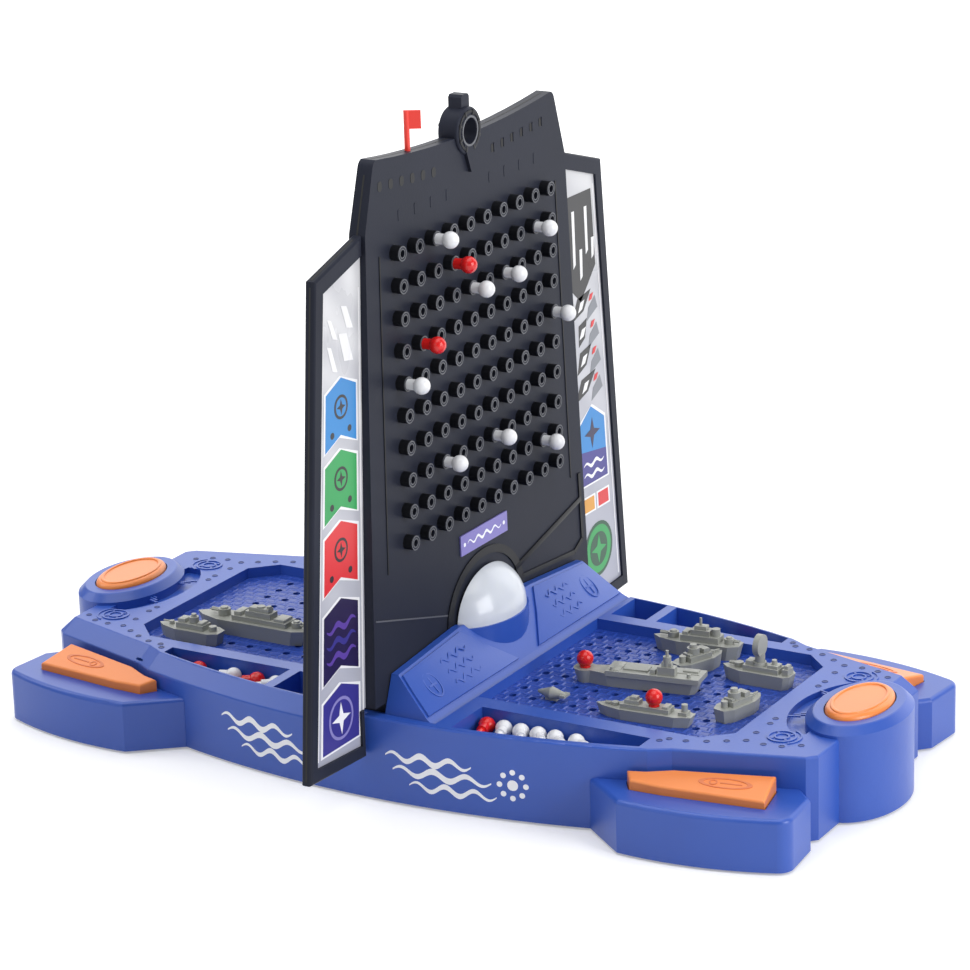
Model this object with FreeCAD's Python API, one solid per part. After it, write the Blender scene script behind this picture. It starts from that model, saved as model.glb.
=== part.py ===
"""Two-player fleet guessing game: a blue base, a plug-in peg screen, ships and pegs.

X runs from player to player, Y across the screen, Z up. The origin is on the
table, under the middle of the screen. "East" is +X, "near" is -Y.
"""
import FreeCAD
import Part
import math
import os

Vec = FreeCAD.Vector
UP = Vec(0, 0, 1)
EASTWARD = Vec(1, 0, 0)
HERE = Vec(0, 0, 0)
os.makedirs("parts", exist_ok=True)

# Driving dimensions, in millimetres.
# Plan of the base: curved long walls, straight shoulders, flat ends.
waist_half = 84.0
arc_end_x = 112.0
arc_end_y = 67.0
pillar_x = 120.0
pillar_y = 62.5
shoulder_x = 167.5
shoulder_y = 48.5
end_x = 171.0
end_y = 45.0

# Heights and walls of the base.
foot_height = 2.5
skirt_gap = 1.0
floor_thick = 2.5
deck_z = 34.2
deck_thick = 4.5
rim_bevel = 6.0
soft_edge = 1.0
wall = 2.5
cover_clear = 0.3

# Outrigger pods with their long pad buttons.
pod_root = (91.0, 73.0)
pod_front_inner = (110.0, 88.0)
pod_front_middle = (140.0, 87.0)
pod_front_outer = (174.5, 77.0)
pod_side = (172.5, 55.0)
pod_corner_radius = 6.0
pod_top_z = 21.5
pod_roof = 3.0
pod_bevel = 1.8
pad_back_outer = (158.5, 54.6)
pad_back_inner = (121.5, 64.2)
pad_tip_back = (112.5, 68.6)
pad_tip = (105.5, 70.6)
pad_tip_front = (109.5, 76.4)
pad_front = (122.0, 76.0)
pad_front_outer = (161.8, 71.2)
pad_middle = (140.0, 66.0)
pad_middle_z = 26.2
pad_rake_deg = 11.7
pad_skew_deg = 10.2
pad_bevel = 1.0
pad_travel = 2.0

# Oval towers with their oval fire buttons.
tower_x = 167.0
tower_rx = 18.5
tower_ry = 28.0
tower_z = 38.4
tower_bevel = 3.0
tower_roof = 3.2
button_rx = 11.5
button_ry = 19.5
button_edge_z = 40.2
button_crown = 2.2
button_travel = 2.5

# Common to every button.
button_clear = 0.45
flange_rim = 1.8
flange_thick = 2.2
flange_clear = 0.3
stem_radius = 3.0
stem_length = 5.0
switch_height = 5.0
switch_foot_radius = 5.0
switch_skin = 0.9
switch_post_radius = 6.0

# Sunken sea fields, each a sheet of pin holes seen through the deck.
sea_inner_x = 29.0
sea_outer_x = 134.0
sea_half = 48.0
sea_corner = 10.0
sea_sheet = 2.5
sea_margin = 3.0
sea_first_gap = 5.5
sea_pitch = 8.8
sea_count = 10
sea_hole_radius = 1.5
scoop_depth = 2.4
scoop_width = 7.0

# Peg troughs in the deck.
trough_floor_z = 25.2
trough_skin = 2.0
trough_inner_y = 56.5
trough_start_x = 36.0
trough_end_x = 108.0
trough_rim = 2.6
tray_inner_y = 55.0
tray_rim = 7.0
tray_small_start_x = 31.5
tray_small_end_x = 47.5
tray_long_start_x = 52.0

# Ridge that the screen stands in, and the two lamp domes on it.
ridge_foot_half = 28.5
ridge_foot_z = 32.2
ridge_knee_half = 24.5
ridge_knee_z = 34.4
ridge_top_half = 9.0
ridge_top_z = 52.0
ridge_end_z = 47.5
ridge_half_length = 79.0
ridge_end_slope = 8.0
ridge_seat_z = 31.7
ridge_skin = 2.4
slot_floor = 1.5
slot_clear = 0.4
dome_x = 1.0
dome_z = 50.0
dome_rx = 18.0
dome_ry = 25.0
dome_rise = 20.0
dome_skin = 2.0
pedestal_rim = 0.8
lamp_radius = 2.5
lamp_height = 18.0

# Screen outline, in Y and Z, and its thickness in X.
screen_foot_half = 84.0
screen_foot_z = 37.5
shoulder_half = 75.0
shoulder_z = 218.8
screen_top_half = 67.0
screen_top_z = 245.3
screen_top_dip = 4.0
screen_top_round = 4.0
tenon_half = 76.0
screen_half_top = 3.2
screen_lean_deg = 0.65
screen_skin = 1.8
screen_margin = 8.0
wing_top_half = 107.5
wing_top_z = 209.2
wing_foot_half = 125.0
wing_foot_z = 20.6
wing_drop_z = 18.6
wing_gap = 2.0
wing_edge_half = 2.2
wing_core_half = 0.9
wing_frame = 5.0
label_thick = 0.2

# Peg tubes on each face of the screen.
peg_pitch = 12.5
peg_count = 10
peg_row_z = 95.8
tube_radius = 2.8
tube_length = 3.9
tube_bore = 1.45

# Ring, knob and pointer at the top of the screen.
crest_drop = 2.5
crest_radius = 9.2
crest_bore = 5.0
crest_half = 4.4
knob_half = 2.9
knob_rise = 14.0
pointer_half = 6.0
pointer_drop = 16.0
pointer_proud = 1.4

# Blank plate under the peg field.
plate_width = 36.0
plate_height = 8.2
plate_z = 81.8
plate_thick = 0.6

# Flag plugged into the top edge.
flag_y = -38.0
flag_pole_radius = 1.1
flag_fit = 0.1
flag_depth = 8.0
flag_rise = 12.6
flag_fly = 5.4
flag_turn_deg = 30.0
flag_drop = 7.0
flag_thick = 1.2

# Pegs: a pin, a collar and a ball.
pin_radius = 1.4
pin_length = 6.6
collar_radius = 2.1
ball_radius = 3.3
ball_centre = 5.8

# Screws.
screw_radius = 1.4
screw_head_radius = 2.75
screw_head = 1.5
screw_length = 11.0
post_radius = 4.0
screen_screw_radius = 1.25
screen_screw_head_radius = 2.4
screen_post_radius = 3.2
screen_screw_y = 64.0
screen_screw_rows = (71.8, 141.8, 204.8)

# Inside the base.
board_half_x = 21.0
board_half_y = 47.0
board_thick = 1.6
board_drop = 5.0
board_post_radius = 2.5
board_post_inset = 4.0
cell_radius = 7.25
cell_length = 50.5
cell_pitch = 15.2
cell_count = 3
cell_lift = 0.3
battery_x = -80.0
battery_end_gap = 0.95
contact_thick = 0.7
contact_half = 4.0
battery_skin = 1.8
door_clear = 0.3
door_ear = 8.0
door_ear_half = 5.0
door_ear_thick = 1.4
speaker_x = 78.0
speaker_radius = 20.0
speaker_lip = 3.0
speaker_height = 16.0
magnet_radius = 9.0
magnet_height = 6.0
cone_skin = 0.8
grille_radius = 12.0
grille_hole = 1.5
grille_pitch = 5.0
switch_slot_x = 10.0
switch_slot_y = 4.0
switch_slot_place_y = -25.0
slider_x = 5.0
slider_clear = 0.3
slider_flange = 2.5
slider_flange_thick = 1.4
slider_tip_z = 1.2
foot_radius = 6.0
foot_place = (145.0, 72.0)
base_post_inner = (16.5, 66.0)
base_post_outer = (146.0, 36.0)

# Places worked out from the sizes above.
floor_z = foot_height
floor_top_z = floor_z + floor_thick
roof_z = deck_z - deck_thick
sea_z = roof_z
tower_roof_z = tower_z - tower_roof
pod_roof_z = pod_top_z - pod_roof
lean = math.tan(math.radians(screen_lean_deg))
slot_z = ridge_seat_z + slot_floor
crest_z = screen_top_z - crest_drop
knob_top_z = crest_z + knob_rise
pointer_tip_z = crest_z - pointer_drop
flag_top_z = screen_top_z + flag_rise
big = 1000.0
overlap = 0.5


def save(name, shape):
    """Write one named piece."""
    shape.exportStep("parts/" + name + ".step")


def prism(points, low, high):
    """Upright prism over a closed outline of (x, y) points."""
    corners = [Vec(x, y, low) for x, y in points]
    outline = Part.makePolygon(corners + corners[:1])
    return Part.Face(outline).extrude(Vec(0, 0, high - low))


def block(x0, x1, y0, y1, z0, z1):
    return Part.makeBox(x1 - x0, y1 - y0, z1 - z0, Vec(x0, y0, z0))


def oval(x, rx, ry, low, high):
    """Upright oval prism whose half widths are rx along X and ry along Y."""
    long_end, short_end = Vec(x, ry, low), Vec(x + rx, 0, low)
    if rx > ry:
        long_end, short_end = short_end, long_end
    edge = Part.Ellipse(long_end, short_end, Vec(x, 0, low)).toShape()
    return Part.Face(Part.Wire(edge)).extrude(Vec(0, 0, high - low))


def rod(radius, x, y, low, high):
    return Part.makeCylinder(radius, high - low, Vec(x, y, low), UP)


def peg_rod(radius, x0, x1, y, z):
    return Part.makeCylinder(radius, x1 - x0, Vec(x0, y, z), EASTWARD)


def edges_at(shape, z):
    return [e for e in shape.Edges if all(abs(v.Z - z) < 1e-4 for v in e.Vertexes)]


def edges_at_x(shape, x):
    return [e for e in shape.Edges if all(abs(v.X - x) < 1e-4 for v in e.Vertexes)]


def flip_x(shape):
    return shape.mirror(HERE, EASTWARD)


def flip_y(shape):
    return shape.mirror(HERE, Vec(0, 1, 0))


def half_turn(shape):
    """The same piece on the other player's side."""
    turned = shape.copy()
    turned.rotate(HERE, UP, 180)
    return turned


def four_ways(shape):
    """A piece of the near east corner, then far east, near west and far west."""
    far = flip_y(shape)
    return [shape, far, flip_x(shape), flip_x(far)]


def mirrored_near(points):
    return [(x, -y) for x, y in points]


# Plan outline of the base, its pods and its towers, at any inset.
def body_prism(inset, low, high):
    near = [(arc_end_x, -arc_end_y), (pillar_x, -pillar_y), (shoulder_x, -shoulder_y),
            (end_x, -end_y)]
    corners = near + [(x, -y) for x, y in reversed(near)]
    corners += [(-x, -y) for x, y in corners]
    edges = []
    for start, stop in zip(corners, corners[1:] + corners[:1]):
        a, b = Vec(*start, low), Vec(*stop, low)
        if start[0] * stop[0] < 0 and abs(abs(start[1]) - arc_end_y) < 1e-6:
            side = math.copysign(waist_half, start[1])
            edges.append(Part.Arc(a, Vec(0, side, low), b).toShape())
        else:
            edges.append(Part.makeLine(a, b))
    face = Part.Face(Part.Wire(edges))
    if inset > 0:
        face = face.makeOffset2D(-inset)
    return face.extrude(Vec(0, 0, high - low))


def pod_prism(inset, low, high):
    root, inner, middle, outer, side = [
        Vec(x, -y, low) for x, y in
        (pod_root, pod_front_inner, pod_front_middle, pod_front_outer, pod_side)]
    back_outer = Vec(pod_side[0] - (pod_side[1] - end_y), -end_y, low)
    back_inner = Vec(pod_root[0], -end_y, low)
    edges = [
        Part.makeLine(root, inner),
        Part.Arc(inner, middle, outer).toShape(),
        Part.makeLine(outer, side),
        Part.makeLine(side, back_outer),
        Part.makeLine(back_outer, back_inner),
        Part.makeLine(back_inner, root)]
    pod = Part.Face(Part.Wire(edges)).extrude(Vec(0, 0, high - low))
    corner = [e for e in pod.Edges if all(
        abs(v.X - outer.x) + abs(v.Y - outer.y) < 1e-4 for v in e.Vertexes)]
    pod = pod.makeFillet(pod_corner_radius, corner)
    if inset > 0:
        bottom = [f for f in pod.Faces if abs(f.CenterOfMass.z - low) < 1e-4][0]
        pod = Part.Face(bottom.OuterWire).makeOffset2D(-inset).extrude(Vec(0, 0, high - low))
    return pod


# The blue shell: body, pods and towers in one moulding, open underneath. Each player's
# near hand has a crisp deck edge along the open trough, the far hand a wide bevel.
crisp = body_prism(0, skirt_gap, deck_z)
crisp = crisp.makeFillet(soft_edge, edges_at(crisp, deck_z))
bevelled = body_prism(0, skirt_gap, deck_z)
bevelled = bevelled.makeChamfer(rim_bevel, edges_at(bevelled, deck_z))
bevel_edges = edges_at(bevelled, deck_z) + edges_at(bevelled, deck_z - rim_bevel)
bevelled = bevelled.makeFillet(soft_edge, bevel_edges)
near_hand = crisp.common(block(0, big, -big, 0, -big, big))
far_hand = bevelled.common(block(0, big, 0, big, -big, big))
body = near_hand.fuse([far_hand, half_turn(near_hand), half_turn(far_hand)])
pod = pod_prism(0, skirt_gap, pod_top_z)
pod = pod.makeFillet(pod_bevel, edges_at(pod, pod_top_z))
tower = oval(tower_x, tower_rx, tower_ry, skirt_gap, tower_z)
tower = tower.makeChamfer(tower_bevel, edges_at(tower, tower_z))
tower = tower.makeFillet(soft_edge, edges_at(tower, tower_z))
shell = body.fuse(four_ways(pod) + [tower, half_turn(tower)])


def hollow(inset, low, body_high, pod_high, tower_high):
    """The room inside the shell, or a cover that fits that room."""
    room = body_prism(inset, low, body_high)
    pods = four_ways(pod_prism(inset, low, pod_high))
    room_tower = oval(tower_x, tower_rx - inset, tower_ry - inset, low, tower_high)
    return room.fuse(pods + [room_tower, half_turn(room_tower)])


shell = shell.cut(hollow(wall, skirt_gap, roof_z, pod_roof_z, tower_roof_z))

# Troughs: one long one on each player's near hand, a split one on the far hand.
trough_room = block(trough_start_x, trough_end_x, -waist_half, -trough_inner_y,
                    trough_floor_z, deck_z + 1).common(body_prism(trough_rim, 0, big))
tray_walls = [(tray_small_start_x, tray_small_end_x), (tray_long_start_x, trough_end_x)]
tray_rooms = [block(x0, x1, tray_inner_y, waist_half, trough_floor_z, deck_z + 1)
              .common(body_prism(tray_rim, 0, big)) for x0, x1 in tray_walls]
tub_low = trough_floor_z - trough_skin
tub_high = roof_z + overlap
trough_tub = block(trough_start_x - trough_skin, trough_end_x + trough_skin, -waist_half,
                   trough_skin - trough_inner_y, tub_low, tub_high)
tray_tub = block(tray_small_start_x - trough_skin, trough_end_x + trough_skin,
                 tray_inner_y - trough_skin, waist_half, tub_low, tub_high)
tubs = [tub.common(body_prism(wall - overlap, 0, big)) for tub in (trough_tub, tray_tub)]
rooms = [trough_room] + tray_rooms
shell = shell.fuse(tubs + [half_turn(t) for t in tubs])
shell = shell.cut(rooms + [half_turn(r) for r in rooms])

# Screw posts for the bottom cover, and pegs for the circuit board.
base_posts = [(x * sx, y * sy) for x, y in (base_post_inner, base_post_outer)
              for sx in (1, -1) for sy in (1, -1)]
board_posts = [(sx * (board_half_x - board_post_inset), sy * (board_half_y - board_post_inset))
               for sx in (1, -1) for sy in (1, -1)]
board_z = roof_z - board_drop - board_thick
posts = [rod(post_radius, x, y, floor_top_z, roof_z + overlap) for x, y in base_posts]
posts += [rod(board_post_radius, x, y, board_z + board_thick, roof_z + overlap)
          for x, y in board_posts]
shell = shell.fuse(posts)
screw_low = floor_z + screw_head + 0.1
screw_fit = 0.05
shell = shell.cut([rod(screw_radius + screw_fit, x, y, floor_top_z, screw_low + screw_length + 1)
                   for x, y in base_posts])

# Openings in the deck: the sea, the seat of the ridge, the buttons, the scoops.
sea_outline = [
    (sea_inner_x, -sea_half), (sea_outer_x - sea_corner, -sea_half),
    (sea_outer_x, sea_corner - sea_half), (sea_outer_x, sea_half - sea_corner),
    (sea_outer_x - sea_corner, sea_half), (sea_inner_x, sea_half)]
sea_hole = prism(sea_outline, roof_z - 1, deck_z + 1)
ridge_seat = block(-ridge_foot_half - slot_clear, ridge_foot_half + slot_clear,
                   -ridge_half_length - slot_clear, ridge_half_length + slot_clear,
                   ridge_seat_z, deck_z + 1)
button_hole = oval(tower_x, button_rx + button_clear, button_ry + button_clear,
                   tower_roof_z - 1, tower_z + 1)
pad_outline = mirrored_near([
    pad_back_outer, pad_back_inner, pad_tip_back, pad_tip,
    pad_tip_front, pad_front, pad_front_outer])


def pad_prism(grow, low, high):
    corners = [Vec(x, y, low) for x, y in pad_outline]
    face = Part.Face(Part.makePolygon(corners + corners[:1]))
    if grow:
        face = face.makeOffset2D(grow)
    return face.extrude(Vec(0, 0, high - low))


pad_hole = pad_prism(button_clear, pod_roof_z - 1, pod_top_z + 1)
scoop = oval(tower_x, tower_rx + scoop_width, tower_ry + scoop_width,
             deck_z - scoop_depth, deck_z + 1)
scoop = scoop.cut(oval(tower_x, tower_rx, tower_ry, 0, big))
scoop = scoop.common(block(0, tower_x - tower_rx / 2, -tower_ry, tower_ry, 0, big))
openings = [sea_hole, half_turn(sea_hole), ridge_seat, button_hole, half_turn(button_hole),
            scoop, half_turn(scoop)]
shell = shell.cut(openings + four_ways(pad_hole)).removeSplitter()
save("base_shell", shell)

# Dark blue sheets of pin holes, fixed under the deck.
sea_span = [(x + math.copysign(sea_margin, x - sea_inner_x - 1), y + math.copysign(sea_margin, y))
            for x, y in sea_outline]
sea_first_x = sea_inner_x + sea_first_gap
sea_first_y = -(sea_count - 1) * sea_pitch / 2
sea_pins = [rod(sea_hole_radius, sea_first_x + i * sea_pitch, sea_first_y + j * sea_pitch,
                sea_z - sea_sheet - 1, sea_z + 1)
            for i in range(sea_count) for j in range(sea_count)]
sea_floor = prism(sea_span, sea_z - sea_sheet, sea_z).cut(sea_pins)
save("ocean_floor_east", sea_floor)
save("ocean_floor_west", half_turn(sea_floor))

# Bottom cover with its battery well, switch posts, grille and switch slot.
cover = hollow(wall + cover_clear, floor_z, floor_top_z, floor_top_z, floor_top_z)
well_x = cell_length / 2 + battery_end_gap
well_y = cell_count * cell_pitch / 2 + door_clear
well_z = floor_top_z + cell_lift + 2 * cell_radius + 1
well = block(battery_x - well_x, battery_x + well_x, -well_y, well_y, 0, well_z)
well_box = block(battery_x - well_x - battery_skin, battery_x + well_x + battery_skin,
                 -well_y - battery_skin, well_y + battery_skin, floor_z, well_z + battery_skin)
ear_x = battery_x + well_x
ear_room = block(ear_x - overlap, ear_x + door_ear + door_clear,
                 -door_ear_half - door_clear, door_ear_half + door_clear,
                 0, floor_z + door_ear_thick)
door_screw_x = ear_x + door_ear / 2 + battery_skin / 2
ear_post_z = well_z / 2
ear_post = rod(post_radius, door_screw_x, 0, floor_z, ear_post_z)
pad_centre = ((pad_back_inner[0] + pad_front_outer[0]) / 2,
              -(pad_back_inner[1] + pad_front[1]) / 2)
pad_low_z = pod_roof_z - flange_clear - flange_thick
pad_switch_z = pad_low_z - stem_length - switch_height
pad_post = rod(switch_post_radius, *pad_centre, floor_z, max(pad_switch_z, floor_top_z))
fire_low_z = tower_roof_z - flange_clear - flange_thick
fire_switch_z = fire_low_z - stem_length - switch_height
fire_post = rod(switch_post_radius, tower_x, 0, floor_z, fire_switch_z)
cover = cover.fuse([well_box, ear_post, fire_post, half_turn(fire_post)] + four_ways(pad_post))
rings = [(ring * grille_pitch, 6 * ring) for ring in range(1, int(grille_radius / grille_pitch) + 1)]
grille_places = [(0, 0)] + [
    (r * math.cos(2 * math.pi * k / n), r * math.sin(2 * math.pi * k / n))
    for r, n in rings for k in range(n)]
grille = [rod(grille_hole, speaker_x + x, y, 0, floor_top_z + 1) for x, y in grille_places]
slot = block(-switch_slot_x / 2, switch_slot_x / 2,
             switch_slot_place_y - switch_slot_y / 2, switch_slot_place_y + switch_slot_y / 2,
             0, floor_top_z + 1)
head_room = screw_head_radius + 0.25
cover_screw_holes = [rod(screw_radius + 0.2, x, y, 0, floor_top_z + 1) for x, y in base_posts]
cover_screw_holes += [rod(head_room, x, y, 0, screw_low) for x, y in base_posts]
door_screw_low = floor_z + door_ear_thick
cover_screw_holes.append(
    rod(screw_radius + screw_fit, door_screw_x, 0, 0, door_screw_low + screw_length - 2))
cover = cover.cut(grille + cover_screw_holes + [well, ear_room, slot]).removeSplitter()
save("base_floor", cover)

# Battery door with its screwed ear, three cells and their end contacts.
door = block(battery_x - well_x + door_clear, battery_x + well_x - door_clear,
             door_clear - well_y, well_y - door_clear, floor_z, floor_top_z)
ear = block(ear_x - door_clear - overlap, ear_x + door_ear, -door_ear_half, door_ear_half,
            floor_z, floor_z + door_ear_thick)
door = door.fuse(ear).cut(rod(screw_radius + 0.2, door_screw_x, 0, 0, big)).removeSplitter()
save("battery_door", door)
door_head_low = floor_z - screw_head
save("battery_door_screw", rod(screw_head_radius, door_screw_x, 0, door_head_low, floor_z).fuse(
    rod(screw_radius, door_screw_x, 0, floor_z, door_screw_low + screw_length - 3)).removeSplitter())
cell_z = floor_top_z + cell_lift + cell_radius
cell_ys = [(k - (cell_count - 1) / 2) * cell_pitch for k in range(cell_count)]
tip_length = 1.0
tip_radius = 2.7
cells = []
for k, y in enumerate(cell_ys):
    cell_body = peg_rod(cell_radius, -cell_length / 2, cell_length / 2 - tip_length, 0, 0)
    cell = cell_body.fuse(peg_rod(tip_radius, 0, cell_length / 2, 0, 0)).removeSplitter()
    if k % 2:
        cell = flip_x(cell)
    cell.translate(Vec(battery_x, y, cell_z))
    cells.append(cell)
save("battery_cells", Part.makeCompound(cells))
contacts = []
for y in cell_ys:
    for side in (-1, 1):
        outer = battery_x + side * well_x
        inner = outer - side * contact_thick
        contacts.append(block(min(outer, inner), max(outer, inner), y - contact_half,
                              y + contact_half, cell_z - contact_half, cell_z + contact_half))
save("battery_contacts", Part.makeCompound(contacts))

# Speaker on the grille, circuit board on its pegs.
speaker_ring = rod(speaker_radius, speaker_x, 0, floor_top_z, floor_top_z + speaker_lip)
speaker_ring = speaker_ring.cut(
    rod(speaker_radius - speaker_lip, speaker_x, 0, 0, floor_top_z + speaker_lip))
basket_low, basket_high = floor_top_z + speaker_lip, floor_top_z + speaker_height
basket = Part.makeCone(speaker_radius, magnet_radius, basket_high - basket_low,
                       Vec(speaker_x, 0, basket_low), UP)
basket = basket.cut(Part.makeCone(speaker_radius - speaker_lip, magnet_radius - speaker_lip,
                                  basket_high - basket_low, Vec(speaker_x, 0, basket_low), UP))
magnet = rod(magnet_radius, speaker_x, 0, basket_high, basket_high + magnet_height)
save("speaker_frame", speaker_ring.fuse([basket, magnet]).removeSplitter())
cone_wide = speaker_radius - 2 * speaker_lip
cone_narrow = magnet_radius - 2 * speaker_lip
cone_low, cone_high = floor_top_z + cone_skin, basket_high - speaker_lip
cone_rim = rod(speaker_radius - speaker_lip - cover_clear, speaker_x, 0, floor_top_z, cone_low)
cone_rim = cone_rim.cut(rod(cone_wide - cone_skin, speaker_x, 0, 0, cone_low))
cone = Part.makeCone(cone_wide, cone_narrow, cone_high - cone_low,
                     Vec(speaker_x, 0, cone_low), UP)
cone = cone.cut(Part.makeCone(cone_wide - cone_skin, cone_narrow - cone_skin,
                              cone_high - cone_low - cone_skin, Vec(speaker_x, 0, cone_low), UP))
save("speaker_cone", cone_rim.fuse(cone).removeSplitter())
save("circuit_board", block(-board_half_x, board_half_x, -board_half_y, board_half_y,
                            board_z, board_z + board_thick))

# Power switch slider, in its off place at the west end of the slot.
slider_place_x = slider_x / 2 + slider_clear - switch_slot_x / 2
slider = block(slider_place_x - slider_x / 2, slider_place_x + slider_x / 2,
               switch_slot_place_y - switch_slot_y / 2 + slider_clear,
               switch_slot_place_y + switch_slot_y / 2 - slider_clear,
               slider_tip_z, floor_top_z)
slider_plate = block(slider_place_x - slider_x / 2 - slider_flange,
                     slider_place_x + slider_x / 2 + slider_flange,
                     switch_slot_place_y - switch_slot_y / 2 - slider_flange,
                     switch_slot_place_y + switch_slot_y / 2 + slider_flange,
                     floor_top_z, floor_top_z + slider_flange_thick)
save("power_switch", slider.fuse(slider_plate).removeSplitter())

# Rubber feet and the screws that hold the bottom cover.
foot_places = [(foot_place[0] * sx, foot_place[1] * sy) for sx in (1, -1) for sy in (1, -1)]
save("rubber_feet", Part.makeCompound(
    [rod(foot_radius, x, y, 0, foot_height) for x, y in foot_places]))
screws = []
for x, y in base_posts:
    head = rod(screw_head_radius, x, y, screw_low - screw_head, screw_low)
    shank = rod(screw_radius, x, y, screw_low, screw_low + screw_length)
    screws.append(head.fuse(shank).removeSplitter())
save("base_screws", Part.makeCompound(screws))


# Buttons: a cap with a stop flange under the roof, a stem and a rubber dome.
def switch_dome(x, y, low):
    foot, top = switch_foot_radius, stem_radius + switch_skin
    dome = Part.makeCone(foot, top, switch_height, Vec(x, y, low), UP)
    room = Part.makeCone(foot - switch_skin, top - switch_skin, switch_height - switch_skin,
                         Vec(x, y, low), UP)
    return dome.cut(room)


fire_cap = oval(tower_x, button_rx, button_ry, fire_low_z, button_edge_z)
fire_cap = fire_cap.makeFillet(button_crown, edges_at(fire_cap, button_edge_z))
fire_flange = oval(tower_x, button_rx + flange_rim, button_ry + flange_rim,
                   fire_low_z, fire_low_z + flange_thick)
fire_stem = rod(stem_radius, tower_x, 0, fire_low_z - stem_length, fire_low_z)
fire_button = fire_cap.fuse([fire_flange, fire_stem]).removeSplitter()
fire_dome = switch_dome(tower_x, 0, fire_switch_z)
for side, place in (("east", lambda s: s), ("west", half_turn)):
    save("fire_button_" + side, place(fire_button))
    save("fire_switch_" + side, place(fire_dome))

# The pads' tops rake down from the wall to the player's fingers.
above_pad = block(-big, big, -big, big, 0, big)
above_pad.rotate(HERE, EASTWARD, pad_rake_deg)
above_pad.rotate(HERE, UP, pad_skew_deg)
above_pad.translate(Vec(pad_middle[0], -pad_middle[1], pad_middle_z))
pad_cap = pad_prism(0, pad_low_z, deck_z).cut(above_pad)
pad_top = max(pad_cap.Faces, key=lambda face: face.CenterOfMass.z)
pad_cap = pad_cap.makeFillet(pad_bevel, pad_top.Edges)
pad_flange = pad_prism(flange_rim, pad_low_z, pad_low_z + flange_thick)
pad_stem = rod(stem_radius, *pad_centre, pad_low_z - stem_length, pad_low_z)
pad_button = pad_cap.fuse([pad_flange, pad_stem]).removeSplitter()
pad_dome = switch_dome(*pad_centre, pad_switch_z)
corner_names = ("east_near", "east_far", "west_near", "west_far")
for corner, cap, dome in zip(corner_names, four_ways(pad_button), four_ways(pad_dome)):
    save("pad_button_" + corner, cap)
    save("pad_switch_" + corner, dome)

# Ridge: a hollow moulding with the slot for the screen and a pedestal per lamp.
screen_half_foot = screen_half_top + (screen_top_z - slot_z) * lean
slot_half = screen_half_foot + slot_clear


def ridge_section(y, top_z):
    """Outline of the ridge across the screen, at one place along it."""
    east = [(ridge_foot_half, ridge_seat_z), (ridge_foot_half, ridge_foot_z),
            (ridge_knee_half, ridge_knee_z), (ridge_top_half, top_z)]
    corners = [Vec(x, y, z) for x, z in east + [(-x, z) for x, z in reversed(east)]]
    return Part.makePolygon(corners + corners[:1])


def xz_prism(points, y0, y1):
    corners = [Vec(x, y0, z) for x, z in points]
    return Part.Face(Part.makePolygon(corners + corners[:1])).extrude(Vec(0, y1 - y0, 0))


def east_of(x):
    return block(x, big, -big, big, -big, big)


def yz_prism(points, x0, x1):
    corners = [Vec(x0, y, z) for y, z in points]
    return Part.Face(Part.makePolygon(corners + corners[:1])).extrude(Vec(x1 - x0, 0, 0))


def both_sides(points):
    """Outline points of the +Y half, bottom to top, closed over to the -Y half."""
    return points + [(-y, z) for y, z in reversed(points)]


pedestal_rx, pedestal_ry = dome_rx + pedestal_rim, dome_ry + pedestal_rim
crown_half = pedestal_ry + ridge_skin
ridge = Part.makeLoft([
    ridge_section(-ridge_half_length, ridge_end_z), ridge_section(-crown_half, ridge_top_z),
    ridge_section(crown_half, ridge_top_z), ridge_section(ridge_half_length, ridge_end_z)], True, True)
ridge_ends = both_sides([(ridge_half_length, ridge_seat_z),
                         (ridge_half_length - ridge_end_slope, ridge_top_z)])
ridge = ridge.common(yz_prism(ridge_ends, -big, big))
pedestal = oval(dome_x, pedestal_rx, pedestal_ry, ridge_seat_z, dome_z).common(east_of(slot_half))
lens_room = oval(dome_x, pedestal_rx, pedestal_ry, dome_z, big).common(east_of(0))
ridge = ridge.fuse([pedestal, half_turn(pedestal)]).cut([lens_room, half_turn(lens_room)])
slope = (ridge_knee_half - ridge_top_half) / (ridge_end_z - ridge_knee_z)
cavity_inner = slot_half + ridge_skin
cavity_low = ridge_seat_z - 1
cavity_high = ridge_end_z - ridge_skin
slope_skin = ridge_skin * math.hypot(1, slope)
cavity_wide = ridge_knee_half + slope * (ridge_knee_z - cavity_low) - slope_skin
cavity_narrow = ridge_knee_half - slope * (cavity_high - ridge_knee_z) - slope_skin
ridge_cavity_end = ridge_end_slope + ridge_skin - ridge_half_length
cavity = xz_prism([(cavity_inner, cavity_low), (cavity_wide, cavity_low),
                   (max(cavity_narrow, cavity_inner + 0.5), cavity_high),
                   (cavity_inner, cavity_high)],
                  ridge_cavity_end, -ridge_cavity_end)
cavity = cavity.cut(oval(dome_x, pedestal_rx, pedestal_ry, 0, big))
lamp_rim = dome_skin + pedestal_rim
lamp_room = oval(dome_x, dome_rx - lamp_rim, dome_ry - lamp_rim, cavity_low, dome_z + 1)
lamp_room = lamp_room.common(east_of(cavity_inner))
screen_slot = block(-slot_half, slot_half, -big, big, slot_z, big)
cuts = [cavity, lamp_room]
ridge = ridge.cut(cuts + [half_turn(c) for c in cuts] + [screen_slot]).removeSplitter()
save("screen_socket", ridge)


# Lamp domes: oval quarter shells on the pedestals, each over a small lamp.
def ellipsoid(rx, ry, rz):
    stretch = FreeCAD.Matrix()
    stretch.scale(rx, ry, rz)
    stretch.move(Vec(dome_x, 0, dome_z))
    return Part.makeSphere(1.0).transformGeometry(stretch)


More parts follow.
